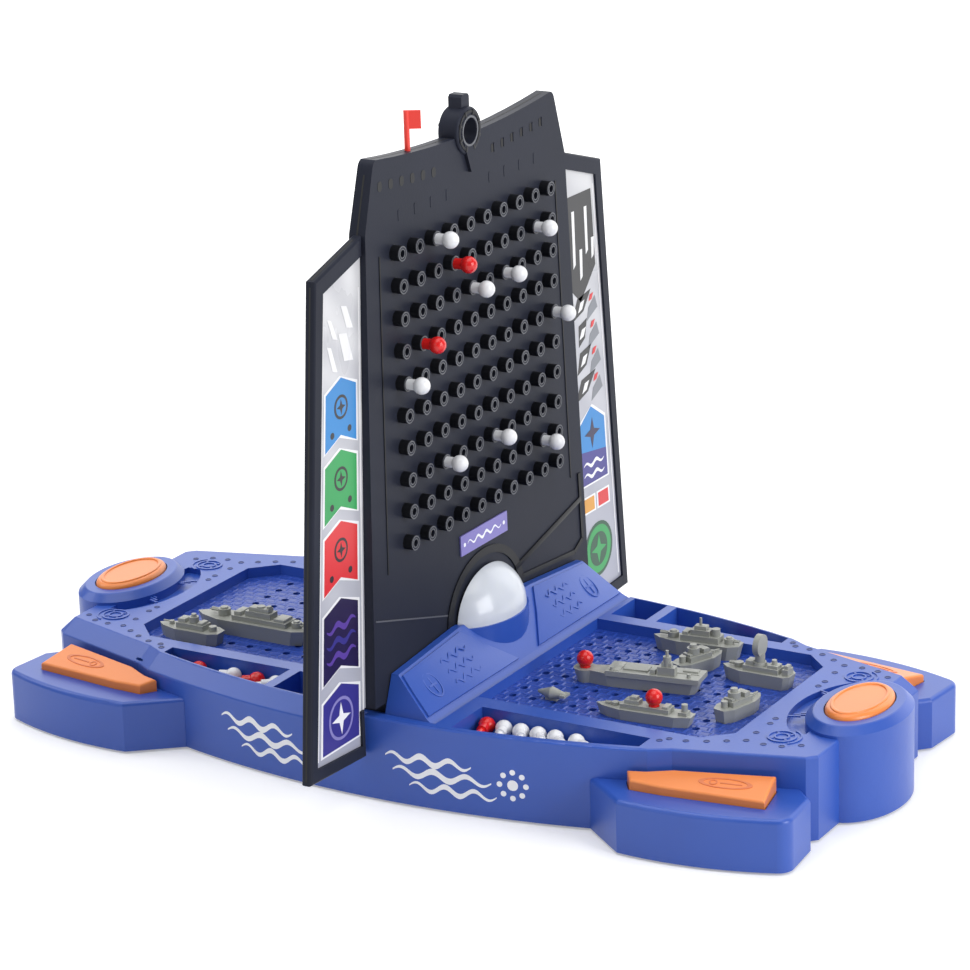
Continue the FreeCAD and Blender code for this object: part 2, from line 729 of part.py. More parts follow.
dome_back = slot_half + slot_clear
lens = ellipsoid(dome_rx, dome_ry, dome_rise)
lens = lens.cut(ellipsoid(dome_rx - dome_skin, dome_ry - dome_skin, dome_rise - dome_skin))
lens = lens.common(block(dome_back, big, -big, big, dome_z, big))
save("lamp_dome_east", lens)
save("lamp_dome_west", half_turn(lens))
lamp_x = cavity_inner + lamp_radius + slot_clear
lamp_top_z = ridge_seat_z + lamp_height
lamp = rod(lamp_radius, lamp_x, 0, ridge_seat_z, lamp_top_z)
lamp = lamp.makeFillet(lamp_radius * 0.8, edges_at(lamp, lamp_top_z))
save("lamp_bulbs", Part.makeCompound([lamp, half_turn(lamp)]))


# Screen: two half shells back to back, each with peg tubes, wings and half a crest.
def face_x(z):
    """How far the leaning east face stands out at height z."""
    return screen_half_top + (screen_top_z - z) * lean


def leaning(inner, outer):
    """Everything between two offsets from the leaning face; None means the middle plane."""
    low, high = -10.0, knob_top_z + 10.0
    near_low = 0.0 if inner is None else face_x(low) + inner
    near_high = 0.0 if inner is None else face_x(high) + inner
    return xz_prism([(near_low, low), (face_x(low) + outer, low),
                     (face_x(high) + outer, high), (near_high, high)], -big, big)


def edge_y(z):
    """Half width of the raised panel below its shoulder."""
    share = (z - screen_foot_z) / (shoulder_z - screen_foot_z)
    return screen_foot_half + (shoulder_half - screen_foot_half) * share


panel_outline = both_sides([
    (tenon_half, slot_z), (tenon_half, screen_foot_z), (screen_foot_half, screen_foot_z),
    (shoulder_half, shoulder_z), (screen_top_half, screen_top_z)])
panel_blank = yz_prism(panel_outline, 0, big)
top_corners = [e for e in panel_blank.Edges if all(
    abs(v.Z - screen_top_z) < 1e-4 for v in e.Vertexes) and e.Length > 2 * screen_top_half + 1]
panel_blank = panel_blank.makeFillet(screen_top_round, top_corners)
dip_radius = (screen_top_half ** 2 + screen_top_dip ** 2) / (2 * screen_top_dip)
dip = Part.makeCylinder(dip_radius, big, Vec(0, 0, screen_top_z - screen_top_dip + dip_radius),
                        EASTWARD)
panel = panel_blank.common(leaning(None, 0.0)).cut(dip)
wing_inner = waist_half + wing_gap
wing_outline = [
    (shoulder_half, shoulder_z), (wing_top_half, wing_top_z), (wing_foot_half, wing_foot_z),
    (wing_inner, wing_drop_z), (wing_inner, screen_foot_z), (screen_foot_half, screen_foot_z)]
top_slope = (shoulder_z - wing_top_z) / (wing_top_half - shoulder_half)
recess_drop = 1.4 * wing_frame
recess_top_inner = (edge_y(shoulder_z - recess_drop), shoulder_z - recess_drop)
recess_top_outer = (wing_top_half - wing_frame,
                    wing_top_z - recess_drop + top_slope * wing_frame)
recess_outline = [
    recess_top_inner, recess_top_outer,
    (wing_foot_half - wing_frame, wing_foot_z + wing_frame),
    (wing_inner + wing_frame / 2, wing_drop_z + wing_frame),
    (wing_inner + wing_frame / 2, screen_foot_z), (edge_y(screen_foot_z), screen_foot_z)]
wing = yz_prism(wing_outline, 0, wing_edge_half)
wing = wing.makeFillet(soft_edge, edges_at_x(wing, wing_edge_half))
wing = wing.cut(yz_prism(recess_outline, wing_core_half, big))
crest = peg_rod(crest_radius, 0, crest_half, 0, crest_z)
crest = crest.makeFillet(soft_edge, edges_at_x(crest, crest_half))
knob = yz_prism(both_sides([(knob_half, crest_z), (knob_half, knob_top_z - 1.0),
                            (knob_half - 1.0, knob_top_z)]), 0, knob_half)
pointer = yz_prism([(-pointer_half, crest_z), (0, pointer_tip_z), (pointer_half, crest_z)],
                   0, big).common(leaning(None, pointer_proud))
peg_places = [((c - (peg_count - 1) / 2) * peg_pitch, peg_row_z + r * peg_pitch)
              for r in range(peg_count) for c in range(peg_count)]
tubes = [peg_rod(tube_radius, face_x(z) - screen_skin, face_x(z) + tube_length, y, z)
         for y, z in peg_places]
pocket_half_low = edge_y(ridge_top_z) - screen_margin
pocket_half_high = edge_y(shoulder_z) - screen_margin
pocket = yz_prism(both_sides([(pocket_half_low, ridge_top_z), (pocket_half_high, shoulder_z)]),
                  0, big).common(leaning(None, -screen_skin))
screw_places = [(y, z) for z in screen_screw_rows for y in (-screen_screw_y, screen_screw_y)]
screen_posts = [peg_rod(screen_post_radius, 0, face_x(z) - screen_skin + 0.2, y, z)
                for y, z in screw_places]
half_shell = panel.fuse([wing, flip_y(wing), crest, knob, pointer])
half_shell = half_shell.cut(pocket).fuse(tubes + screen_posts)
bores = [peg_rod(tube_bore, face_x(z) + tube_length - pin_length - 0.3,
                 face_x(z) + tube_length + 1, y, z) for y, z in peg_places]
crest_hole = peg_rod(crest_bore, -1, crest_half + 1, 0, crest_z)
half_shell = half_shell.cut(bores + [crest_hole])
flag_foot_z = screen_top_z - screen_top_dip - flag_depth
flag_hole = rod(flag_pole_radius + flag_fit, 0, flag_y, flag_foot_z, screen_top_z + 1)
screw_tip = 1.0
blind = [peg_rod(screen_screw_radius + screw_fit, -1, screw_tip + 0.2, y, z)
         for y, z in screw_places]
save("screen_shell_east", half_shell.cut(blind + [flag_hole]).removeSplitter())
west_cuts = [flag_hole]
screen_screws = []
for y, z in screw_places:
    head_x = screen_screw_head_radius / 2 - face_x(z)
    west_cuts.append(peg_rod(screen_screw_head_radius + 0.2, -big, head_x, y, z))
    west_cuts.append(peg_rod(screen_screw_radius + 0.15, -big, 1, y, z))
    head = peg_rod(screen_screw_head_radius, 0.2 - face_x(z), head_x, y, z)
    shank = peg_rod(screen_screw_radius, head_x, screw_tip, y, z)
    screen_screws.append(head.fuse(shank).removeSplitter())
save("screen_shell_west", half_turn(half_shell).cut(west_cuts).removeSplitter())
save("screen_screws", Part.makeCompound(screen_screws))

# Thin labels in the wing frames, and the blank plate below the peg field.
label = yz_prism(recess_outline, wing_core_half, wing_core_half + label_thick)
labels = Part.makeCompound([label, flip_y(label)])
save("wing_labels_east", labels)
save("wing_labels_west", half_turn(labels))
plate_low, plate_high = plate_z - plate_height / 2, plate_z + plate_height / 2
plate = yz_prism(both_sides([(plate_width / 2, plate_low), (plate_width / 2, plate_high)]),
                 0, big).common(leaning(0.0, plate_thick))
save("name_plates", Part.makeCompound([plate, half_turn(plate)]))

# Signal flag on its pole.
flag_pole = rod(flag_pole_radius, 0, flag_y, flag_foot_z, flag_top_z)
flag_cloth = block(0, flag_fly, -flag_thick / 2, flag_thick / 2, flag_top_z - flag_drop, flag_top_z)
flag_cloth.rotate(HERE, UP, flag_turn_deg)
flag_cloth.translate(Vec(0, flag_y, 0))
save("signal_flag", flag_pole.fuse(flag_cloth).removeSplitter())


# Pegs, modelled along +X with the collar's seat at the origin.
def make_peg():
    pin = peg_rod(pin_radius, -pin_length, 0, 0, 0)
    collar = peg_rod(collar_radius, 0, ball_centre, 0, 0)
    ball = Part.makeSphere(ball_radius, Vec(ball_centre, 0, 0))
    return pin.fuse([collar, ball]).removeSplitter()


peg = make_peg()


def screen_peg(row, column):
    """A peg in the east face; row 0 is at the top and column 0 at the near side."""
    z = peg_row_z + (peg_count - 1 - row) * peg_pitch
    y = (column - (peg_count - 1) / 2) * peg_pitch
    placed = peg.copy()
    placed.translate(Vec(face_x(z) + tube_length, y, z))
    return placed


white_places = [(0, 2), (1, 8), (2, 4), (2, 6), (4, 0), (4, 9), (7, 2), (7, 5), (8, 8)]
red_places = [(1, 3), (3, 1)]
save("screen_pegs_white", Part.makeCompound([screen_peg(r, c) for r, c in white_places]))
save("screen_pegs_red", Part.makeCompound([screen_peg(r, c) for r, c in red_places]))

# Loose pegs lie on the trough floors, on their balls.
lying_gap = 0.15


def lying_peg(x, y, heading):
    """A peg on the trough floor; (x, y) is its ball and heading its direction in degrees."""
    placed = peg.copy()
    placed.translate(Vec(-ball_centre, 0, 0))
    placed.rotate(HERE, UP, heading)
    placed.translate(Vec(x, y, trough_floor_z + ball_radius + lying_gap))
    return placed


# Each handful fans out from the inner wall. A row gives the ball's distance along
# the trough from its first peg, and the angle of the pin to the inner wall.
near_fan = [(0.0, 80), (7.4, 75), (14.8, 62), (22.2, 50), (29.6, 40), (38.6, 25)]
tray_fan = [(0.0, 40), (9.0, 32), (20.0, 17), (36.5, -4)]
fan_gap = 0.4
near_fan_x = trough_start_x + ball_radius + 0.7
near_fan_y = -trough_inner_y - ball_radius - fan_gap
near_handful = [lying_peg(near_fan_x + d, near_fan_y, 180 - turn) for d, turn in near_fan]
save("trough_pegs_east_near_red", near_handful[0])
save("trough_pegs_east_near_white", Part.makeCompound(near_handful[1:]))
tray_fan_x = tray_long_start_x + ball_radius + 1.2
tray_fan_y = tray_inner_y + ball_radius + fan_gap
tray_handful = [lying_peg(tray_fan_x + d, tray_fan_y, 180 + turn) for d, turn in tray_fan]
save("trough_pegs_east_far_red", tray_handful[2])
save("trough_pegs_east_far_white", Part.makeCompound(tray_handful[:2] + tray_handful[3:]))
west_handful = [half_turn(p) for p in tray_handful]
save("trough_pegs_west_near_red", Part.makeCompound(west_handful[1::2]))
save("trough_pegs_west_near_white", Part.makeCompound(west_handful[0::2]))

# Ships stand on the sea. Each is modelled along +X, bow first, with its keel at z = 0.
hull_flare = 0.84
peg_seat_clear = 0.1


def hull(length, beam, height, bow, stern):
    """Flared hull with a pointed bow at +X; bow and stern are the tapering lengths."""
    half, side = length / 2, beam / 2
    plan = [(-half, -0.55 * side), (stern - half, -side), (half - bow, -side),
            (half - bow / 3, -0.55 * side), (half, 0), (half - bow / 3, 0.55 * side),
            (half - bow, side), (stern - half, side), (-half, 0.55 * side)]
    lower = [Vec(x * (1 + hull_flare) / 2, y * hull_flare, 0) for x, y in plan]
    upper = [Vec(x, y, height) for x, y in plan]
    wires = [Part.makePolygon(ring + ring[:1]) for ring in (lower, upper)]
    return Part.makeLoft(wires, True, True)


def ship(name, body, x, y, heading):
    """Turn, place and save a ship."""
    body = body.removeSplitter()
    body.rotate(HERE, UP, heading)
    body.translate(Vec(x, y, sea_z))
    save(name, body)


# A ship's peg sinks to its ball, so its pin reaches through into the sea hole below.
sunk_collar = ball_centre - ball_radius


def peg_hole(x, top):
    collar_room = rod(collar_radius + peg_seat_clear, x, 0, top - sunk_collar - 0.2, top + 1)
    return collar_room.fuse(rod(pin_radius + peg_seat_clear, x, 0, -1, top))


def ship_peg(name, x, y, top):
    placed = peg.copy()
    placed.rotate(HERE, Vec(0, 1, 0), -90)
    placed.translate(Vec(x, y, sea_z + top - sunk_collar + 0.1))
    save(name, placed)


def sea_x(column):
    return sea_first_x + column * sea_pitch


def sea_y(row):
    return sea_first_y + row * sea_pitch


def behind_peg(peg_x, peg_y, reach, heading):
    """Middle of a ship whose peg stands in a sea hole, reach ahead of the middle."""
    turn = math.radians(heading)
    return peg_x - reach * math.cos(turn), peg_y - reach * math.sin(turn)


# Aircraft carrier: a flat deck with an island on a narrow hull, and a low bow cup for a peg.
carrier_height = 5.6
carrier_deck_top = carrier_height + 1.5
carrier_peg_reach = 21.5
carrier_heading = 189.0
cup_top = 4.6
cup_foot = 3.0
carrier = hull(52, 9.6, carrier_height, 14, 2)
carrier = carrier.fuse([
    block(-26.5, 11.5, -5.8, 5.8, carrier_height - 0.6, carrier_deck_top),
    Part.makeCone(cup_foot, cup_top, carrier_height, Vec(carrier_peg_reach, 0, 0), UP),
    block(-16.5, -9.5, 0.8, 4.6, carrier_height, carrier_deck_top + 3.4),
    rod(1.6, -13, 2.6, carrier_height, carrier_deck_top + 7.5),
    block(-5, 5, -2.8, 2.8, carrier_height, carrier_deck_top + 0.6)])
carrier = carrier.cut(peg_hole(carrier_peg_reach, carrier_height))
carrier_x, carrier_y = behind_peg(sea_x(2), sea_y(4), carrier_peg_reach, carrier_heading)
ship("carrier_ship", carrier, carrier_x, carrier_y, carrier_heading)
ship_peg("carrier_peg", sea_x(2), sea_y(4), carrier_height)

# Long ship: a low hull with a raised middle, a peg hole and a stern mast.
long_height = 4.4
long_deck = long_height + 1.8
long_peg_reach = -4.0
long_heading = 184.0
long_ship = hull(40, 9.0, long_height, 11, 6)
long_ship = long_ship.fuse([
    block(-11, 9, -3.0, 3.0, long_height - 1, long_deck),
    rod(1.2, -16.5, 0, long_height - 1, long_height + 4.2),
    block(-18, -14.5, -2.0, 2.0, long_height - 1, long_height + 1.3)])
long_ship = long_ship.cut(peg_hole(long_peg_reach, long_deck))
long_x, long_y = behind_peg(sea_x(7), sea_y(1), long_peg_reach, long_heading)
ship("long_ship", long_ship, long_x, long_y, long_heading)
ship_peg("long_ship_peg", sea_x(7), sea_y(1), long_deck)

# Radar ship: a tall upright radar dish on a round drum.
radar_place = (113.5, 22.3)
radar_height = 5.6
dish_radius = 4.4
dish_z = radar_height + 10.0
radar_ship = hull(30, 9.6, radar_height, 9, 2)
radar_ship = radar_ship.fuse([
    block(-10, 5, -3.2, 3.2, radar_height - 1, radar_height + 2.0),
    rod(2.0, -1, 0, radar_height, dish_z - dish_radius + 1),
    peg_rod(dish_radius, -2.2, 0.2, 0, dish_z),
    rod(1.8, 8, 0, radar_height - 1, radar_height + 1.8),
    peg_rod(0.6, 8, 12, 0, radar_height + 1.1),
    block(-14, -11.5, -2.5, 2.5, radar_height - 1, radar_height + 2.4)])
ship("radar_ship", radar_ship, *radar_place, 180)

# Cruiser: stepped deck houses, a funnel and two gun turrets.
cruiser_place = (78.0, 40.6)
cruiser_height = 6.0
cruiser = hull(37, 10.0, cruiser_height, 11, 4)
cruiser = cruiser.fuse([
    block(-10, 6, -3.4, 3.4, cruiser_height - 1, cruiser_height + 2.4),
    block(-6, 2, -2.4, 2.4, cruiser_height, cruiser_height + 4.6),
    rod(1.7, -8, 0, cruiser_height, cruiser_height + 5.4),
    rod(2.2, 10, 0, cruiser_height - 1, cruiser_height + 2.2),
    peg_rod(0.7, 10, 15.5, 0, cruiser_height + 1.4),
    rod(2.0, -13.5, 0, cruiser_height - 1, cruiser_height + 2.0)])
ship("cruiser_ship", cruiser, *cruiser_place, 186)

# Two patrol boats that lie across the sea.
boat_height = 5.4
outer_boat_place = (122.0, -10.7)
inner_boat_place = (87.0, 24.6)


def patrol_boat():
    boat = hull(24, 9.2, boat_height, 8, 4)
    return boat.fuse([
        block(-7, 4, -3.1, 3.1, boat_height - 1, boat_height + 2.0),
        rod(2.5, -3, 0, boat_height, boat_height + 4.8),
        rod(1.3, -8.6, 0, boat_height - 1, boat_height + 2.6)])


ship("patrol_boat_outer", patrol_boat(), *outer_boat_place, 75)
ship("patrol_boat_inner", patrol_boat(), *inner_boat_place, 68)

# Midget submarine: a spindle with tail fins on a short keel.
sub_radius = 2.6
sub_half = 6.0
sub_place = (50.5, -28.2)
sub_nose = Part.makeCone(sub_radius, 0.6, sub_half, Vec(0, 0, sub_radius), EASTWARD)
sub_tail = Part.makeCone(sub_radius, 0.9, sub_half, Vec(0, 0, sub_radius), -EASTWARD)
sub_fins = block(-sub_half - 0.6, 1.6 - sub_half, -2.4, 2.4, sub_radius - 0.5, sub_radius + 0.5)
sub_keel = block(-2.5, 2.5, -1.2, 1.2, 0, sub_radius)
midget = sub_nose.fuse([sub_tail, sub_fins, sub_keel])
ship("midget_sub", midget, *sub_place, 180)

# West fleet: a large gun ship and a small one.
west_large_place = (-93.6, -18.2)
west_height = 6.4
west_large = hull(54, 12, west_height, 13, 5)
west_large = west_large.fuse([
    block(-18, 8, -4.0, 4.0, west_height - 1, west_height + 2.0),
    block(-10, 2, -2.8, 2.8, west_height, west_height + 4.4),
    rod(1.8, -4, 0, west_height, west_height + 6.5),
    rod(2.6, 14, 0, west_height - 1, west_height + 2.8),
    peg_rod(0.8, 14, 20, 0, west_height + 1.8),
    rod(2.2, -21, 0, west_height - 1, west_height + 2.2)])
ship("west_large_ship", west_large, *west_large_place, 180)
west_small_place = (-113.6, -34.2)
small_height = 5.4
west_small = hull(30, 9.6, small_height, 10, 4)
west_small = west_small.fuse([
    block(-8, 5, -3.0, 3.0, small_height - 1, small_height + 2.2),
    rod(2.0, -2, 0, small_height, small_height + 4.8),
    rod(1.6, -11, 0, small_height - 1, small_height + 2.0)])
ship("west_small_ship", west_small, *west_small_place, 180)
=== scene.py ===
import bpy
import bmesh
import math
from mathutils import Matrix, Vector


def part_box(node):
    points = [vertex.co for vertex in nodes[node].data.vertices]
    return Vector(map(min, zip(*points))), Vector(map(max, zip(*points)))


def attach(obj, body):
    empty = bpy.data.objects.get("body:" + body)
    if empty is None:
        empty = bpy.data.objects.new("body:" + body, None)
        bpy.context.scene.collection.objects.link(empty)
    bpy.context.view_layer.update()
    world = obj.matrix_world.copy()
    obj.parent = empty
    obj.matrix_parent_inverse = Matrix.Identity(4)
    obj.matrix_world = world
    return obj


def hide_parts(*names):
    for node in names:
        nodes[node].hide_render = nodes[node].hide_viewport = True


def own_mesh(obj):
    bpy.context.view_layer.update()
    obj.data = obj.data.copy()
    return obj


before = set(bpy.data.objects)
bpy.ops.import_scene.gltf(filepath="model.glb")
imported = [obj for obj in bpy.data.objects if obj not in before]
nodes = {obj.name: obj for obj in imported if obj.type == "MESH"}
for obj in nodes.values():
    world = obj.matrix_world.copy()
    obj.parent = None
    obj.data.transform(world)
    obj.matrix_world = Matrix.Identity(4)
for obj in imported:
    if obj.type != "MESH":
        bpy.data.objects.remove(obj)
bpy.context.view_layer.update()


def from_screen(red, green, blue):
    """A colour as seen on a screen, 0 to 255, as the linear values that a shader takes."""
    parts = [c / 255 for c in (red, green, blue)]
    return [p / 12.92 if p <= 0.04045 else ((p + 0.055) / 1.055) ** 2.4 for p in parts] + [1.0]


def moulded_plastic(name, light, deep, rough, grain=0.05, gloss=0.5):
    """Moulded plastic: slow flow marks between two near tones over a fine spark-eroded grain."""
    mat = bpy.data.materials.new(name)
    mat.use_nodes = True
    tree = mat.node_tree
    surface = tree.nodes["Principled BSDF"]
    surface.inputs["Specular IOR Level"].default_value = gloss
    place = tree.nodes.new("ShaderNodeTexCoord")
    flow = tree.nodes.new("ShaderNodeTexNoise")
    flow.inputs["Scale"].default_value = 14.0
    flow.inputs["Detail"].default_value = 4.0
    flow.inputs["Distortion"].default_value = 0.6
    tone = tree.nodes.new("ShaderNodeValToRGB")
    tone.color_ramp.elements[0].position = 0.32
    tone.color_ramp.elements[0].color = from_screen(*deep)
    tone.color_ramp.elements[1].position = 0.68
    tone.color_ramp.elements[1].color = from_screen(*light)
    sheen = tree.nodes.new("ShaderNodeMapRange")
    sheen.inputs["To Min"].default_value = rough - 0.05
    sheen.inputs["To Max"].default_value = rough + 0.06
    spark = tree.nodes.new("ShaderNodeTexNoise")
    spark.inputs["Scale"].default_value = 1100.0
    spark.inputs["Detail"].default_value = 2.0
    relief = tree.nodes.new("ShaderNodeBump")
    relief.inputs["Strength"].default_value = grain
    relief.inputs["Distance"].default_value = 0.0004
    tree.links.new(place.outputs["Object"], flow.inputs["Vector"])
    tree.links.new(place.outputs["Object"], spark.inputs["Vector"])
    tree.links.new(flow.outputs["Fac"], tone.inputs["Fac"])
    tree.links.new(flow.outputs["Fac"], sheen.inputs["Value"])
    tree.links.new(tone.outputs["Color"], surface.inputs["Base Color"])
    tree.links.new(sheen.outputs["Result"], surface.inputs["Roughness"])
    tree.links.new(spark.outputs["Fac"], relief.inputs["Height"])
    tree.links.new(relief.outputs["Normal"], surface.inputs["Normal"])
    return mat


def dress(material, *names):
    """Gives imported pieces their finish."""
    for name in names:
        nodes[name].data.materials.clear()
        nodes[name].data.materials.append(material)


shell_blue = moulded_plastic("shell_blue", (46, 86, 180), (41, 79, 171), 0.33, gloss=0.6)
dress(shell_blue, "base_shell", "base_floor", "battery_door")

# Deck marks. Raised rings and bars moulded with the deck: one ring emblem in each outer
# corner, and shallow round pits along the edges of the sea and by the troughs. Each pit is a
# flat patch of darker blue inside a raised lip: the darker blue is painted shade.
MM = 0.001
players = ((1, "east"), (-1, "west"))
hands = (-1, 1)
deck_z = 34.2
emblem_x, emblem_y = 151.0, 34.0
emblem_rim, emblem_hub, emblem_spoke, emblem_arc = (4.8, 5.7), (2.3, 3.0), (3.3, 4.5), (7.0, 7.7)
stripe_x, stripe_y, stripe_step_x, stripe_step_y = 144.0, 14.5, 1.6, 2.3
stripe_length, stripe_fall = 4.5, 1.6
spoke_width, stripe_width = 0.9, 0.8
mark_foot, ring_top, bar_top = -0.2, 0.4, 0.35
# Darker blue for the pit floors: painted shade standing in for the pits' depth.
pit_shade_blue = moulded_plastic("pit_shade_blue", (36, 58, 126), (31, 51, 114), 0.45)
pit_width, pit_corner, pit_top = 1.9, 0.9, 0.05
lip_inner, lip_outer, lip_top = 0.95, 1.25, 0.14
pit_places = ((141.0, 18.7), (141.3, 24.0), (140.6, 34.4), (140.7, 43.0), (148.0, 43.6),
              (155.0, 42.6), (161.0, 38.6), (134.5, 46.6), (128.0, 50.2), (121.0, 53.2),
              (114.5, 54.0), (112.0, 57.0))


def add_piece(name, mesh, material, body, crease=35.0):
    """Turns work drawn in millimetres into a finished piece that rides on a body."""
    bmesh.ops.scale(mesh, vec=(MM, MM, MM), verts=mesh.verts)
    bmesh.ops.recalc_face_normals(mesh, faces=mesh.faces)
    shape = bpy.data.meshes.new(name)
    mesh.to_mesh(shape)
    mesh.free()
    shape.materials.append(material)
    shape.polygons.foreach_set("use_smooth", [True] * len(shape.polygons))
    shape.set_sharp_from_angle(angle=math.radians(crease))
    item = bpy.data.objects.new(name, shape)
    bpy.context.scene.collection.objects.link(item)
    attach(item, body)
    return item


def add_both(name, draw, place, material, body):
    """Draws flat work once for each player and lays it on its surface."""
    for side, player in players:
        mesh = bmesh.new()
        draw(mesh)
        for vert in mesh.verts:
            vert.co = place(side, *vert.co)
        add_piece(name + "_" + player, mesh, material, body)


def slab(mesh, outline, low, high, soft=0.0):
    """A flat plate over an outline of (u, v) points, with its upper edge softened."""
    corners = [mesh.verts.new((u, v, low)) for u, v in outline]
    floor = mesh.faces.new(corners)
    raised = bmesh.ops.extrude_face_region(mesh, geom=[floor])["geom"]
    lifted = [g for g in raised if isinstance(g, bmesh.types.BMVert)]
    bmesh.ops.translate(mesh, vec=(0, 0, high - low), verts=lifted)
    if soft > 0:
        rim = [g for g in raised if isinstance(g, bmesh.types.BMEdge)]
        bmesh.ops.bevel(mesh, geom=rim, offset=soft, segments=2, profile=0.5,
                        affect="EDGES", material=-1)


def ring(mesh, centre, inner, outer, low, high, steps=48, start=0.0, turn=360.0):
    """A flat ring, or an arc of one, spun from its cross section."""
    begin = math.radians(start)
    along = Vector((math.cos(begin), math.sin(begin)))
    section = [mesh.verts.new((centre[0] + r * along.x, centre[1] + r * along.y, h))
               for r, h in ((inner, low), (outer, low), (outer, high), (inner, high))]
    loop = [mesh.edges.new(pair) for pair in zip(section, section[1:] + section[:1])]
    spun = bmesh.ops.spin(mesh, geom=section + loop, cent=(*centre, 0), axis=(0, 0, 1),
                          angle=math.radians(turn), steps=steps, use_merge=turn >= 360)
    if turn < 360:
        last = [g for g in spun["geom_last"] if isinstance(g, bmesh.types.BMEdge)]
        bmesh.ops.edgeloop_fill(mesh, edges=loop)
        bmesh.ops.edgeloop_fill(mesh, edges=last)


def bar(start, end, width):
    """Outline of a straight bar between two points."""
    along = Vector((end[0] - start[0], end[1] - start[1])).normalized() * width / 2
    return [(start[0] + along.y, start[1] - along.x), (end[0] + along.y, end[1] - along.x),
            (end[0] - along.y, end[1] + along.x), (start[0] - along.y, start[1] + along.x)]


def at_angle(centre, reach, degrees):
    """The point at a distance and a direction from a centre."""
    turn = math.radians(degrees)
    return centre[0] + reach * math.cos(turn), centre[1] + reach * math.sin(turn)


def rounded(centre, width, height, radius, steps=5):
    """Outline of a rectangle with round corners."""
    points = []
    for k, (sx, sy) in enumerate(((1, 1), (-1, 1), (-1, -1), (1, -1))):
        corner = (centre[0] + sx * (width / 2 - radius), centre[1] + sy * (height / 2 - radius))
        points += [at_angle(corner, radius, 90 * k + 90 * s / steps) for s in range(steps + 1)]
    return points


def on_deck(side, u, v, depth):
    return side * u, side * v, deck_z + depth


def deck_marks(mesh):
    for hand in hands:
        emblem = (emblem_x, hand * emblem_y)
        ring(mesh, emblem, *emblem_rim, mark_foot, ring_top)
        ring(mesh, emblem, *emblem_hub, mark_foot, ring_top, steps=32)
        for k in range(4):
            near, far = (at_angle(emblem, reach, 45 + 90 * k) for reach in emblem_spoke)
            slab(mesh, bar(near, far, spoke_width), mark_foot, bar_top)
        ring(mesh, emblem, *emblem_arc, mark_foot, bar_top, steps=16, start=-50, turn=120)
        for k in range(3):
            start = (stripe_x + stripe_step_x * k, hand * (stripe_y - stripe_step_y * k))
            end = (start[0] + stripe_length, start[1] - hand * stripe_fall)
            slab(mesh, bar(start, end, stripe_width), mark_foot, bar_top)


# Each pit is a patch of painted shade in darker blue, ringed by a raised lip.
def deck_pits(mesh):
    for x, y in pit_places:
        for hand in hands:
            spot = (x, hand * y)
            slab(mesh, rounded(spot, pit_width, pit_width, pit_corner, steps=4), mark_foot, pit_top)
            ring(mesh, spot, lip_inner, lip_outer, mark_foot, lip_top, steps=16)


add_both("deck_marks", deck_marks, on_deck, shell_blue, "base")
add_both("deck_pits", deck_pits, on_deck, pit_shade_blue, "base")

# Wall print. White pad-printed waves on the long walls, with a ring of dots at one end. The
# ink lies a hair proud of the bowed blue wall.
wall_half_length, wall_bow, wall_out = 112.0, 17.0, 84.0
wall_radius = (wall_half_length ** 2 + wall_bow ** 2) / (2 * wall_bow)
print_foot, print_top = -0.05, 0.06
wave_starts = (9.0, -70.0)
wall_waves = ((0.0, 36.0, 20.0, 2.6), (3.0, 44.0, 14.6, 2.6), (10.0, 46.0, 9.2, 2.2))
wave_swing, waves_in_line = 1.5, 3
dots_middle, dots_reach, dots_count = (61.5, 15.0), 5.2, 8
dot_size, hub_size = (2.2, 2.2, 1.05), (4.2, 4.2, 2.0)
print_white = moulded_plastic("print_white", (248, 249, 252), (240, 242, 248), 0.35, grain=0.01)


def wave(start, end, swing, waves, thick):
    """Outline of a wave ribbon that thins out at both ends."""
    upper, lower = [], []
    steps = 14 * waves
    blunt = 0.08
    for k in range(steps + 1):
        share = k / steps
        rise = swing * math.sin(2 * math.pi * waves * share)
        half = thick / 2 * math.sin(math.pi * (blunt + (1 - 2 * blunt) * share))
        u = start[0] + (end[0] - start[0]) * share
        v = start[1] + (end[1] - start[1]) * share + rise
        upper.append((u, v + half))
        lower.append((u, v - half))
    return upper + lower[::-1]


def on_wall(side, u, v, depth):
    out = wall_out - wall_radius + math.sqrt(wall_radius ** 2 - u ** 2)
    return side * u, -side * (out + depth), v


def wall_print(mesh):
    for first in wave_starts:
        for start, end, z, thick in wall_waves:
            ribbon = wave((first + start, z), (first + end, z), wave_swing, waves_in_line, thick)
            slab(mesh, ribbon, print_foot, print_top)
    for k in range(dots_count):
        spot = at_angle(dots_middle, dots_reach, 360 * k / dots_count)
        slab(mesh, rounded(spot, *dot_size), print_foot, print_top)
    slab(mesh, rounded(dots_middle, *hub_size), print_foot, print_top)
    bmesh.ops.triangulate(mesh, faces=mesh.faces)


add_both("wall_print", wall_print, on_wall, print_white, "base")

# Sea sheets. Blue sheets of pin holes, held under the deck by its edges, with a moulded
# pattern of short ripples between the holes. The low patches between the raised ripple lines
# are painted a darker blue: painted shade.
sea_blue = moulded_plastic("sea_blue", (46, 80, 178), (41, 73, 168), 0.34)
sea_tree = sea_blue.node_tree
ripple_place = sea_tree.nodes.new("ShaderNodeTexCoord")
ripple_bend = sea_tree.nodes.new("ShaderNodeTexNoise")
ripple_bend.inputs["Scale"].default_value = 220.0
ripple_shift = sea_tree.nodes.new("ShaderNodeMixRGB")
ripple_shift.blend_type = "ADD"
ripple_shift.inputs["Fac"].default_value = 0.0016
ripples = sea_tree.nodes.new("ShaderNodeTexBrick")
ripples.inputs["Scale"].default_value = 1.0
ripples.inputs["Brick Width"].default_value = 0.0052
ripples.inputs["Row Height"].default_value = 0.0044
ripples.inputs["Mortar Size"].default_value = 0.0011
